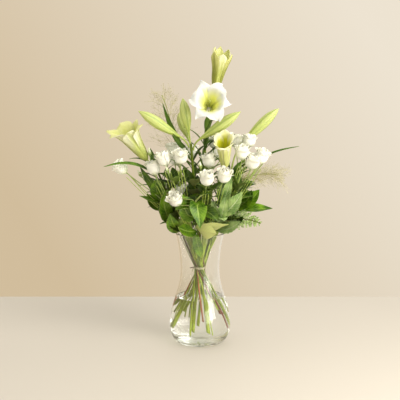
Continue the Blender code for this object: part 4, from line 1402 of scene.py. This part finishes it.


# Leaves that fill the bunch: the style, the stem, the height from the rim where each
# leaves it, the point its spine is drawn towards and its tip, both from the rim's centre, its
# width and the way it faces
EXTRA_LEAVES = (
    ("broad", "salal_stem_2", 0.04, (0.095, -0.05, 0.02), (0.104, -0.062, 0.052), 0.03, (0.0, -0.7, 0.7)),
    ("broad", "salal_stem_1", 0.08, (-0.112, -0.03, 0.088), (-0.108, -0.052, 0.138), 0.03, (-0.2, -0.9, 0.3)),
    ("broad", "lisianthus_stem_1", 0.05, (-0.112, -0.024, 0.11), (-0.146, -0.03, 0.168), 0.022,
     (-0.5, -0.7, 0.5)),
    ("broad", "salal_stem_1", 0.01, (-0.066, -0.07, 0.016), (-0.072, -0.086, 0.062), 0.034,
     (-0.1, -0.9, 0.3)),
    ("broad", "salal_stem_3", 0.05, (-0.036, -0.1, 0.046), (-0.04, -0.104, 0.096), 0.034, (0.1, -0.9, 0.3)),
    ("broad", "salal_stem_3", 0.07, (0.022, -0.108, 0.08), (0.044, -0.116, 0.048), 0.032, (0.3, -0.9, 0.3)),
    ("broad", "salal_stem_3", 0.075, (-0.03, -0.1, 0.104), (-0.058, -0.106, 0.074), 0.03, (-0.3, -0.9, 0.3)),
    ("broad", "salal_stem_2", 0.02, (0.074, -0.066, 0.014), (0.09, -0.088, 0.028), 0.032, (0.2, -0.7, 0.7)),
    ("broad", "salal_stem_4", 0.03, (-0.02, 0.096, 0.03), (0.01, 0.118, 0.02), 0.036, (0.0, 0.7, 0.7)),
    ("broad", "salal_stem_4", 0.078, (-0.058, 0.09, 0.12), (-0.074, 0.104, 0.15), 0.036, (-0.3, 0.9, 0.3)),
    ("broad", "salal_stem_2", 0.085, (0.1, 0.04, 0.118), (0.122, 0.066, 0.13), 0.038, (0.5, 0.6, 0.6)),
    ("broad", "salal_stem_1", 0.088, (-0.096, 0.034, 0.118), (-0.122, 0.06, 0.126), 0.036, (-0.5, 0.6, 0.6)),
    ("broad", "salal_stem_1", 0.01, (-0.08, -0.04, 0.04), (-0.102, -0.058, 0.074), 0.03, (-0.1, -0.8, 0.6)),
    ("broad", "salal_stem_1", 0.004, (-0.056, -0.05, 0.02), (-0.082, -0.068, 0.042), 0.03, (-0.1, -0.8, 0.6)),
    ("broad", "salal_stem_3", 0.014, (-0.018, -0.074, 0.022), (0.04, -0.088, 0.014), 0.044, (0.1, 0.95, 0.3)),
    ("broad", "salal_stem_1", 0.05, (-0.092, -0.062, 0.06), (-0.078, -0.08, 0.112), 0.024, (0.1, 0.95, 0.1)),
    ("broad", "salal_stem_3", 0.01, (-0.03, -0.07, 0.01), (-0.052, -0.092, 0.03), 0.038, (-0.1, -0.8, 0.6)),
    ("broad", "salal_stem_2", 0.06, (0.112, -0.02, 0.066), (0.126, -0.04, 0.112), 0.036, (0.1, -0.8, 0.6)),
    ("broad", "salal_stem_1", 0.06, (-0.106, -0.01, 0.06), (-0.13, -0.02, 0.1), 0.032, (-0.2, -0.8, 0.5)),
    ("sage", "sage_stem", 0.02, (0.052, -0.08, 0.04), (0.06, -0.098, 0.108), 0.024, (-0.1, -0.9, 0.2)),
    ("sage", "sage_stem", 0.04, (0.04, -0.09, 0.06), (0.028, -0.106, 0.096), 0.022, (-0.3, -0.9, 0.2)),
    ("sage", "sage_stem", 0.05, (0.06, -0.07, 0.1), (0.076, -0.074, 0.15), 0.024, (-0.3, -0.9, 0.2)),
    ("sage", "sage_stem", 0.01, (0.072, -0.08, 0.02), (0.096, -0.098, 0.046), 0.028, (0.1, -0.8, 0.5)),
    ("sage", "sage_stem", 0.06, (0.05, -0.05, 0.11), (0.056, -0.052, 0.156), 0.022, (0.0, -1.0, 0.1)),
    ("broad", "salal_stem_3", -0.07, (-0.008, -0.042, -0.03), (-0.012, -0.052, 0.01), 0.024,
     (0.0, -1.0, 0.1)),
    ("lily", "lily_stem_2", 0.2, (0.046, 0.02, 0.26), (0.112, 0.026, 0.234), 0.012, (0.0, -0.2, 1.0)),
    ("lily", "lily_stem_4", 0.13, (0.108, -0.03, 0.19), (0.196, -0.036, 0.208), 0.011, (0.0, -0.3, 1.0)),
    ("lily", "lily_stem_3", 0.158, (-0.14, -0.03, 0.196), (-0.172, -0.04, 0.188), 0.01, (0.0, -0.3, 1.0)),
    ("lily", "lily_stem_1", 0.19, (-0.052, -0.05, 0.226), (-0.064, -0.062, 0.252), 0.012, (0.0, -0.9, 0.3)),
)

# Leaves that grow by rule in pairs up a stem: the stem, the heights from the rim between which
# they grow, how many pairs, their length and width, and how far they lean out
LEAF_PAIRS = (
    ("lisianthus", "lisianthus_stem_1", 0.006, 0.072, 5, 0.060, 0.025, 0.50),
    ("lisianthus", "lisianthus_stem_2", 0.010, 0.135, 10, 0.062, 0.024, 0.42),
    ("lisianthus", "lisianthus_stem_3", 0.000, 0.125, 10, 0.064, 0.024, 0.38),
    ("lisianthus", "lisianthus_stem_4", 0.010, 0.128, 10, 0.062, 0.024, 0.42),
    ("lisianthus", "lisianthus_stem_5", 0.000, 0.140, 9, 0.066, 0.026, 0.50),
    ("lily", "lily_stem_1", 0.030, 0.170, 10, 0.076, 0.012, 0.46),
    ("lily", "lily_stem_2", 0.030, 0.240, 14, 0.086, 0.012, 0.40),
    ("lily", "lily_stem_3", 0.030, 0.160, 10, 0.076, 0.012, 0.45),
    ("lily", "lily_stem_4", 0.030, 0.145, 10, 0.080, 0.012, 0.45),
    ("broad", "salal_stem_1", 0.024, 0.084, 4, 0.060, 0.034, 0.46),
    ("broad", "salal_stem_2", 0.000, 0.084, 4, 0.062, 0.034, 0.45),
    ("broad", "salal_stem_3", 0.040, 0.084, 3, 0.060, 0.034, 0.50),
    ("broad", "salal_stem_4", 0.000, 0.084, 5, 0.068, 0.038, 0.55),
    ("broad", "lily_stem_1", 0.020, 0.110, 5, 0.066, 0.030, 0.34),
    ("broad", "lily_stem_4", 0.020, 0.090, 4, 0.060, 0.030, 0.34),
    ("sage", "sage_stem", 0.010, 0.064, 3, 0.056, 0.026, 0.45),
)

# Where each of these pairs starts its turn round its stem, in radians from the stem's right side
PAIR_TURNS = (
    (-1.51534, 1.67217, -1.64142, -0.04994, 1.82939),
    (3.14159, -3.14159, 1.83484, 1.91368, 2.07957, -1.10832, -2.22465, 0.91694, -1.67772, -1.67772),
    (-2.94321, -0.37688, -1.07477, -0.11743, -3.14159, -0.16053, 2.06682, 0.07999, -2.99766,
     -2.99766),
    (-2.09369, 2.3352, 2.19062, 0.67267, 1.01533, 1.62805, 1.62805, 2.2251, -1.1691, -1.1691),
    (3.14159, 2.87549, 0.45095, -2.92573, 2.72855, -3.02604, 3.03511, -0.02351, -0.02351),
    (-0.94088, 2.7226, 1.64111, 1.90024, -2.23348, -0.97355, -2.01223, 1.64111, 0.0, 1.90025),
    (1.55601, -0.56225, 2.1354, -3.14159, 3.14159, 1.72335, -1.6405, -1.52469, -1.92718, -1.36636,
     -1.50081, 1.95788, -1.92718, 0.0),
    (1.29045, -1.64002, -1.47973, -1.55886, -3.14159, 1.50331, 3.14159, -1.5406, 1.62542, -0.01668),
    (0.52761, 1.41073, 1.33077, 1.83916, -3.14159, 1.14714, -1.87339, -1.87739, -2.17504, 2.33107),
    (-1.56375, -1.5379, 1.57267, -1.61543),
    (-1.45321, -1.56581, -1.66407, 1.72579),
    (2.83245, -0.65419, 2.99526),
    (0.35776, 2.88524, -2.54508, 0.35022, 0.2902),
    (1.92154, 2.7226, 1.64111, -2.83876, -0.97355),
    (0.96655, 1.41073, 1.83916, 1.14714),
    (-3.14159, 0.703, 0.48553),
)


def on_stem(stem, height):
    """The point of a stem at a height, and the way that the stem runs there."""
    line, _ = STEM_LINES[stem]
    at = np.clip(np.searchsorted(line[:, 2], height), 1, len(line) - 1)
    return line[at], unit(line[at] - line[at - 1])


def leaf_on_stem(stem, height, drawn, tip, width, facing, style, look, seed):
    """A leaf's skin along the curve from its stem to its tip, coarser for a narrow leaf."""
    rows, columns = (28, 13) if style in ("broad", "sage") else (22, 7)
    start, _ = on_stem(stem, height)
    spine = arc_through(start, drawn, tip, 24)
    widest = 0.42 if style in ("lily", "lisianthus") else 0.52
    halves = leaf_outline(np.linspace(0, 1, 24), width, widest)
    facing = unit(np.array(facing, float))
    return leaf_skin(spine, halves, facing, look, style, seed, rows, columns)


class MakeLeaves(bpy.types.Operator):
    """Grows the leaves: glossy broad ones, grey-green sage, and narrow ones up the stems"""

    bl_idname = "bouquet.leaves"
    bl_label = "Leaves"

    def execute(self, context):
        look = context.scene.leaf_look
        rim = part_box("vase")[1].z
        paints = {
            "broad": leaf_paint(
                "broad_leaf", look.broad_dark, look.broad_light, look.broad_under,
                (0.3, 0.4, 0.08), True, 0.36, 0.12,
            ),
            "sage": leaf_paint(
                "sage_leaf", look.sage, (0.38, 0.5, 0.17), (0.42, 0.5, 0.24), (0.55, 0.64, 0.36),
                True, 0.7,
            ),
            "lily": leaf_paint(
                "lily_leaf", (0.03, 0.085, 0.005), (0.1, 0.19, 0.012), (0.15, 0.25, 0.04),
                (0.17, 0.28, 0.04), False, 0.42, 0.05,
            ),
            "lisianthus": leaf_paint(
                "lisianthus_leaf", (0.04, 0.1, 0.006), (0.11, 0.2, 0.016), (0.19, 0.27, 0.05),
                (0.22, 0.32, 0.06), False, 0.5,
            ),
        }
        slots = {"broad": "broad_leaf", "sage": "sage_leaf", "lily": "lily_leaf", "lisianthus": "lily_leaf"}
        styles = {"salal_leaf": "broad", "sage_leaf": "sage", "lily_leaf": "lily"}
        for start, style in styles.items():
            for order, name in enumerate(nodes_named(start)):
                spine, halves, facing = leaf_line(name)
                sheaf = Sheaf()
                skin = leaf_skin(spine, halves, facing, look, style, order)
                # Painted light and shade: these tones make the first leaves of each kind the lightest and the
                # ones after them darker
                sheaf.add(skin, tone=(1.0 - 0.13 * order) % 1.01)
                sheaf.make(name + "_grown", [paints[style]], slots[style], [name])
        gathered = {style: Sheaf() for style in paints}
        lift = np.array([0, 0, rim])
        for order, (style, stem, height, drawn, tip, width, facing) in enumerate(EXTRA_LEAVES):
            skin = leaf_on_stem(
                stem, rim + height, drawn + lift, tip + lift, width, facing, style, look, order,
            )
            gathered[style].add(skin, tone=(order * TONE_STEP) % 1)
        for order, rule in enumerate(LEAF_PAIRS):
            self.pairs(gathered[rule[0]], rim, look, order, *rule)
        for style, sheaf in gathered.items():
            sheaf.make(f"{style}_foliage", [paints[style]], slots[style])
        return {"FINISHED"}

    def pairs(self, sheaf, rim, look, order, style, stem, low, high, count, length, width, lean):
        """Opposite leaves up a stem, each pair at its own turn and a quarter for each one below it."""
        draws = np.random.default_rng(order + 11)
        for pair, height in enumerate(np.linspace(low, high, count)):
            root, rise = on_stem(stem, rim + height)
            right = unit(np.cross(rise, [0, -1, 0]))
            back = np.cross(rise, right)
            for half in (0, 1):
                turn = PAIR_TURNS[order][pair] + pair * TURN / 4 + half * TURN / 2
                turn = turn + draws.normal(0, 0.25)
                out = right * math.cos(turn) + back * math.sin(turn)
                long = length * draws.uniform(0.8, 1.15)
                drawn = root + rise * long * (0.5 + draws.normal(0, 0.08)) + out * long * lean * 0.6
                droop = UP * long * draws.uniform(0.0, 0.25)
                tip = root + rise * long * 0.7 + out * long * (lean + 0.25) - droop
                facing = rise * lean - out * (1 - lean) + UP * 0.5
                skin = leaf_on_stem(
                    stem, rim + height, drawn, tip, width * draws.uniform(0.85, 1.1), facing,
                    style, look, pair + 3 * order,
                )
                sheaf.add(skin, tone=draws.uniform(0, 1))


# ---- fern and grass --------------------------------------------------------------------------


class AiryLook(bpy.types.PropertyGroup):
    hair: length_choice("Hair", "Radius of a plume's finest branches", 0.00016)
    straw: colour_choice("Straw", "Colour of the grass plumes", (0.6, 0.55, 0.27))
    fern: colour_choice("Fern", "Colour of the fern", (0.27, 0.38, 0.1))
    branches: bpy.props.IntProperty(
        name="Branches", description="Main branches of a grass plume", default=34,
    )
    twigs: bpy.props.IntProperty(
        name="Twigs", description="Twigs on each branch of a grass plume", default=12,
    )


def plume(sheaf, line, look, seed, long, spread, full):
    """An airy panicle along the end of a stem.

    Branches leave the line by turns of the golden angle, each shorter than the last, and bend
    over. Twigs leave each branch the same way and end in a seed.
    """
    draws = np.random.default_rng(seed)
    count, twigs = int(look.branches * full), look.twigs
    share = np.linspace(0.0, 0.98, count)
    at = share * (len(line) - 1)
    low = at.astype(int)
    root = line[low] + (line[np.minimum(low + 1, len(line) - 1)] - line[low]) * (at - low)[:, None]
    way, one, two = crossways(line)
    turn = np.arange(count) * GOLDEN_ANGLE + draws.normal(0, 0.3, count)
    out = one[low] * np.cos(turn)[:, None] + two[low] * np.sin(turn)[:, None]
    reach = long * (1.0 - 0.55 * share) * draws.uniform(0.7, 1.1, count)
    lean = spread * draws.uniform(0.7, 1.2, count)
    middle = root + (way[low] * 0.5 + out * lean[:, None] * 0.4) * reach[:, None]
    tip = root + (way[low] * 0.8 + out * lean[:, None]) * reach[:, None]
    tip = tip - UP * (reach * draws.uniform(0.0, 0.25, count))[:, None]
    branches = arc_through(root, middle, tip, 14)
    sheaf.add(
        tube(branches, np.broadcast_to(np.linspace(2.2, 1.0, 14) * look.hair, (count, 14)), 3),
        tone=draws.uniform(0, 1, count),
    )
    where = draws.integers(4, 14, (count, twigs))
    start = np.take_along_axis(branches, where[..., None], axis=1)
    ahead = unit(branches[:, -1] - branches[:, 0])[:, None, :]
    scatter = unit(draws.normal(0, 1, (count, twigs, 3)))
    stretch = (reach[:, None] * draws.uniform(0.14, 0.34, (count, twigs)))[..., None]
    end = start + unit(ahead * 1.0 + scatter * 0.9) * stretch
    bend = (start + end) / 2 + scatter * stretch * 0.12
    fine = arc_through(start, bend, end, 5).reshape(-1, 5, 3)
    sheaf.add(tube(fine, np.full(fine.shape[:2], look.hair), 3), tone=draws.uniform(0, 1, len(fine)))
    tips = end.reshape(-1, 3)
    aim = unit(fine[:, -1] - fine[:, -2])
    seeds = arc_through(tips, tips + aim * 0.0012, tips + aim * 0.0024, 4)
    swell = np.broadcast_to(np.array([0.0001, 0.00052, 0.00042, 0.0001]), seeds.shape[:2])
    sheaf.add(tube(seeds, swell, 4), tone=draws.uniform(0, 1, len(seeds)))


# The grass plumes: the stem, the share of it at which the plume starts, the length of its longest
# branches, how far they spread and how full it is
PLUMES = (
    ("grass_stem_1", 0.72, 0.08, 0.8, 1.6),
    ("grass_stem_2", 0.58, 0.09, 0.5, 3.4),
)


class MakeGrass(bpy.types.Operator):
    """Grows the airy grass plumes from the ends of the two grass stems"""

    bl_idname = "bouquet.grass"
    bl_label = "Grass plumes"

    def execute(self, context):
        look = context.scene.airy_look
        straw = dry_paint("grass_straw", look.straw, tuple(0.7 * part for part in look.straw))
        for order, (stem, start, long, spread, full) in enumerate(PLUMES):
            line, _ = STEM_LINES[stem]
            sheaf = Sheaf()
            plume(sheaf, line[int(len(line) * start):], look, order + 5, long, spread, full)
            sheaf.make(f"grass_plume_{order + 1}", [straw], "grass")
        return {"FINISHED"}


# The way that the whole frond faces
FROND_FACING = np.array([0.0, -1.0, 0.5])


class MakeFern(bpy.types.Operator):
    """Grows the fern frond: pairs of side fronds along its stalk, each with small leaflets"""

    bl_idname = "bouquet.fern"
    bl_label = "Fern"

    def execute(self, context):
        look = context.scene.airy_look
        green = leaf_paint(
            "fern_leaflet", look.fern, tuple(1.3 * part for part in look.fern),
            (0.36, 0.46, 0.2), (0.4, 0.5, 0.2), False, 0.5,
        )
        line, _ = STEM_LINES["fern_stem"]
        line = line[int(len(line) * 0.66):]
        draws = np.random.default_rng(3)
        count = 17
        share = np.linspace(0.06, 0.97, count)
        at = (share * (len(line) - 1)).astype(int)
        way, _, _ = crossways(line)
        side = unit(np.cross(way[at], FROND_FACING))
        sheaf = Sheaf()
        reach = 0.035 * np.sin(np.clip(1.12 - share, 0, 1) * math.pi / 2) * draws.uniform(0.85, 1.1, count)
        for hand in (-1, 1):
            lean = unit(side * hand + way[at] * 0.55 - UP * draws.uniform(0.1, 0.5, count)[:, None])
            tips = line[at] + lean * reach[:, None]
            ribs = arc_through(line[at], (line[at] + tips) / 2 + UP * 0.002, tips, 9)
            sheaf.add(tube(ribs, np.full((count, 9), 0.0002), 4), tone=0.4)
            self.leaflets(sheaf, ribs, reach, draws)
        sheaf.make("fern_frond", [green], "fern")
        return {"FINISHED"}

    def leaflets(self, sheaf, ribs, reach, draws):
        """Flat pointed leaflets, to either side of each rib: a diamond of five rows, three wide."""
        count = len(ribs)
        ahead = unit(ribs[:, -1] - ribs[:, 0])
        beside = unit(np.cross(ahead, FROND_FACING))
        for step in range(1, 9):
            for hand in (-1, 1):
                long = (reach * 0.34 * (1.1 - step / 10) * draws.uniform(0.8, 1.2, count))[:, None]
                start = ribs[:, step]
                end = start + unit(ahead * 0.8 + beside * hand) * long - UP * long * 0.15
                spine = arc_through(start, (start + end) / 2, end, 5)
                width = np.array([0.1, 0.8, 1.0, 0.7, 0.08]) * 0.0012
                flat = unit(np.cross(end - start, FROND_FACING))
                across = np.array([-1.0, 0.0, 1.0])[:, None]
                sheet = spine[:, :, None, :] + flat[:, None, None, :] * across * width[:, None, None]
                sheaf.add(both_sides(sheet, 0.00025), tone=draws.uniform(0, 1, count))


# ---- stage -----------------------------------------------------------------------------------


class StageLook(bpy.types.PropertyGroup):
    floor: colour_choice("Floor", "Colour of the floor", (0.6, 0.55, 0.475))
    # The wall is painted in shade to the left and low down, and in light to the right and high up
    wall_in_shade: colour_choice(
        "Wall, left", "Colour round about, seen to the left", (0.64, 0.51, 0.335),
    )
    wall_in_light: colour_choice(
        "Wall, right", "Colour round about, seen to the right", (0.85, 0.77, 0.64),
    )
    light: colour_choice(
        "Light", "Colour of the light that comes from all round", (0.95, 0.925, 0.86),
    )
    back: length_choice(
        "Floor's back edge", "Distance of the floor's back edge behind the vase", 0.43,
    )
    camera_distance: length_choice(
        "Camera distance", "Distance of the camera in front of the vase", 2.2,
    )
    camera_height: length_choice("Camera height", "Height of the camera above the floor", 0.707)
    camera_tilt: bpy.props.FloatProperty(
        name="Camera tilt", description="How far the camera looks down",
        default=math.radians(8.9), subtype="ANGLE",
    )
    camera_lens: bpy.props.FloatProperty(
        name="Camera lens", description="Focal length of the camera, in mm on a 36 mm film", default=80.73,
    )
    bounces: bpy.props.IntProperty(
        name="Bounces", description="How many walls of glass light may cross", default=32,
    )
    key_power: power_choice("Key light", "Power of the tall soft light", 17.5)
    low_power: power_choice("Low light", "Power of the small soft light by the floor", 3.0)
    fill_power: power_choice("Fill light", "Power of the wide soft light", 49.0)


def aim(thing, place, target):
    """Puts a light at a place and turns it to face the target."""
    away = np.array(place) - np.array(target)
    thing.location = place
    thing.rotation_euler = (
        math.atan2(math.hypot(away[0], away[1]), away[2]),
        0.0,
        math.atan2(away[1], away[0]) + math.pi / 2,
    )


# The lamps: the name, the property that holds the power, the place, the point that it faces, and
# its width and height
SOFT_LIGHTS = (
    ("key_light", "key_power", (0.96, -0.83, 1.1), (0.0, 0.0, 0.85), 0.64, 2.0),
    ("low_light", "low_power", (0.8, -1.12, 0.22), (0.0, 0.0, 0.22), 0.73, 0.42),
    ("fill_light", "fill_power", (2.2, -2.4, 3.2), (0.0, 0.0, 0.4), 2.6, 2.6),
)


def soft_light(name, power, place, target, wide, tall):
    """A warm rectangular lamp."""
    lamp = bpy.data.lights.new(name, "AREA")
    lamp.shape = "RECTANGLE"
    lamp.size = wide
    lamp.size_y = tall
    lamp.energy = power
    lamp.color = (1.0, 0.97, 0.92)
    thing = bpy.data.objects.new(name, lamp)
    bpy.context.scene.collection.objects.link(thing)
    aim(thing, place, target)


def studio_world(look):
    """Light from all round, of one colour, which is seen as a wall with painted light and shade that grades
    from side to side.

    The wall's share of its lit colour is 0.6 plus twice the way's X plus 1.3 times its Z, so it is painted
    darker to the left and low down.
    """
    world = bpy.data.worlds.new("studio")
    world.use_nodes = True
    tree = world.node_tree
    background = tree.nodes["Background"]
    towards = tree.nodes.new("ShaderNodeTexCoord").outputs["Generated"]
    parts = tree.nodes.new("ShaderNodeSeparateXYZ")
    tree.links.new(towards, parts.inputs[0])
    sideways = tree.nodes.new("ShaderNodeMath")
    upwards = tree.nodes.new("ShaderNodeMath")
    for share, axis, slope in ((sideways, "X", 2.0), (upwards, "Z", 1.3)):
        share.operation = "MULTIPLY_ADD"
        tree.links.new(parts.outputs[axis], share.inputs[0])
        share.inputs[1].default_value = slope
    sideways.inputs[2].default_value = 0.6
    tree.links.new(sideways.outputs[0], upwards.inputs[2])
    upwards.use_clamp = True
    diffuse = tree.nodes.new("ShaderNodeLightPath").outputs["Is Diffuse Ray"]
    wall = tree.nodes.new("ShaderNodeMix")
    seen = tree.nodes.new("ShaderNodeMix")
    for mix, factor in ((wall, upwards.outputs[0]), (seen, diffuse)):
        mix.data_type = "RGBA"
        tree.links.new(factor, mix.inputs[0])
    # Painted shade on the wall's left and low side, painted light on its right and high side
    wall.inputs[6].default_value = (*look.wall_in_shade, 1.0)
    wall.inputs[7].default_value = (*look.wall_in_light, 1.0)
    tree.links.new(wall.outputs[2], seen.inputs[6])
    seen.inputs[7].default_value = (*look.light, 1.0)
    tree.links.new(seen.outputs[2], background.inputs["Color"])
    return world


class MakeStage(bpy.types.Operator):
    """Lays the pale floor, sets the soft lights and places the camera"""

    bl_idname = "bouquet.stage"
    bl_label = "Stage"

    def execute(self, context):
        look = context.scene.stage_look
        across = np.linspace(-4, 4, 9)
        along = np.linspace(-4, look.back, 9)
        grid = np.stack([*np.meshgrid(across, along), np.zeros((9, 9))], axis=-1)
        mesh = bpy.data.meshes.new("floor")
        index = np.arange(81).reshape(9, 9)
        faces = np.stack([index[:-1, :-1], index[:-1, 1:], index[1:, 1:], index[1:, :-1]], axis=-1)
        mesh.from_pydata(grid.reshape(-1, 3), [], faces.reshape(-1, 4).tolist())
        mesh.materials.append(floor_paint(look))
        floor = bpy.data.objects.new("floor", mesh)
        context.scene.collection.objects.link(floor)
        context.scene.world = studio_world(look)
        for name, power, *placing in SOFT_LIGHTS:
            soft_light(name, getattr(look, power), *placing)
        lens = bpy.data.cameras.new("camera")
        lens.lens = look.camera_lens
        lens.sensor_width = 36.0
        camera = bpy.data.objects.new("camera", lens)
        camera.location = (0.0, -look.camera_distance, look.camera_height)
        camera.rotation_euler = (math.pi / 2 - look.camera_tilt, 0.0, 0.0)
        context.scene.collection.objects.link(camera)
        context.scene.camera = camera
        context.scene.view_settings.view_transform = "Standard"
        # Each wall of glass and water takes several bounces, so light needs more than usual
        context.scene.cycles.max_bounces = look.bounces
        context.scene.cycles.transmission_bounces = look.bounces
        context.scene.cycles.glossy_bounces = look.bounces
        return {"FINISHED"}


# ---- the add-on ------------------------------------------------------------------------------

LOOKS = {
    "glass_look": GlassLook,
    "twine_look": TwineLook,
    "stem_look": StemLook,
    "lily_look": LilyLook,
    "lisianthus_look": LisianthusLook,
    "leaf_look": LeafLook,
    "airy_look": AiryLook,
    "stage_look": StageLook,
}
MAKERS = (
    MakeVase,
    MakeWater,
    MakeTwine,
    MakeStems,
    MakeLilyBuds,
    MakeTrumpets,
    MakeOpenLily,
    MakeLisianthus,
    MakeLeaves,
    MakeGrass,
    MakeFern,
    MakeStage,
)


class BouquetPanel(bpy.types.Panel):
    """Lists the bouquet's sizes and colours, and the operators that make it"""

    bl_idname = "VIEW3D_PT_bouquet"
    bl_label = "Bouquet"
    bl_space_type = "VIEW_3D"
    bl_region_type = "UI"
    bl_category = "Bouquet"

    def draw(self, context):
        for name, look in LOOKS.items():
            box = self.layout.box()
            box.label(text=name.replace("_", " ").capitalize())
            for value in look.__annotations__:
                box.prop(getattr(context.scene, name), value)
        for maker in MAKERS:
            self.layout.operator(maker.bl_idname)


def register():
    for name, look in LOOKS.items():
        bpy.utils.register_class(look)
        setattr(bpy.types.Scene, name, bpy.props.PointerProperty(type=look))
    for made in (*MAKERS, BouquetPanel):
        bpy.utils.register_class(made)


def unregister():
    for made in reversed((*MAKERS, BouquetPanel)):
        bpy.utils.unregister_class(made)
    for name, look in reversed(LOOKS.items()):
        delattr(bpy.types.Scene, name)
        bpy.utils.unregister_class(look)


def main():
    register()
    for maker in MAKERS:
        group, name = maker.bl_idname.split(".")
        getattr(getattr(bpy.ops, group), name)()


if __name__ == "__main__":
    main()
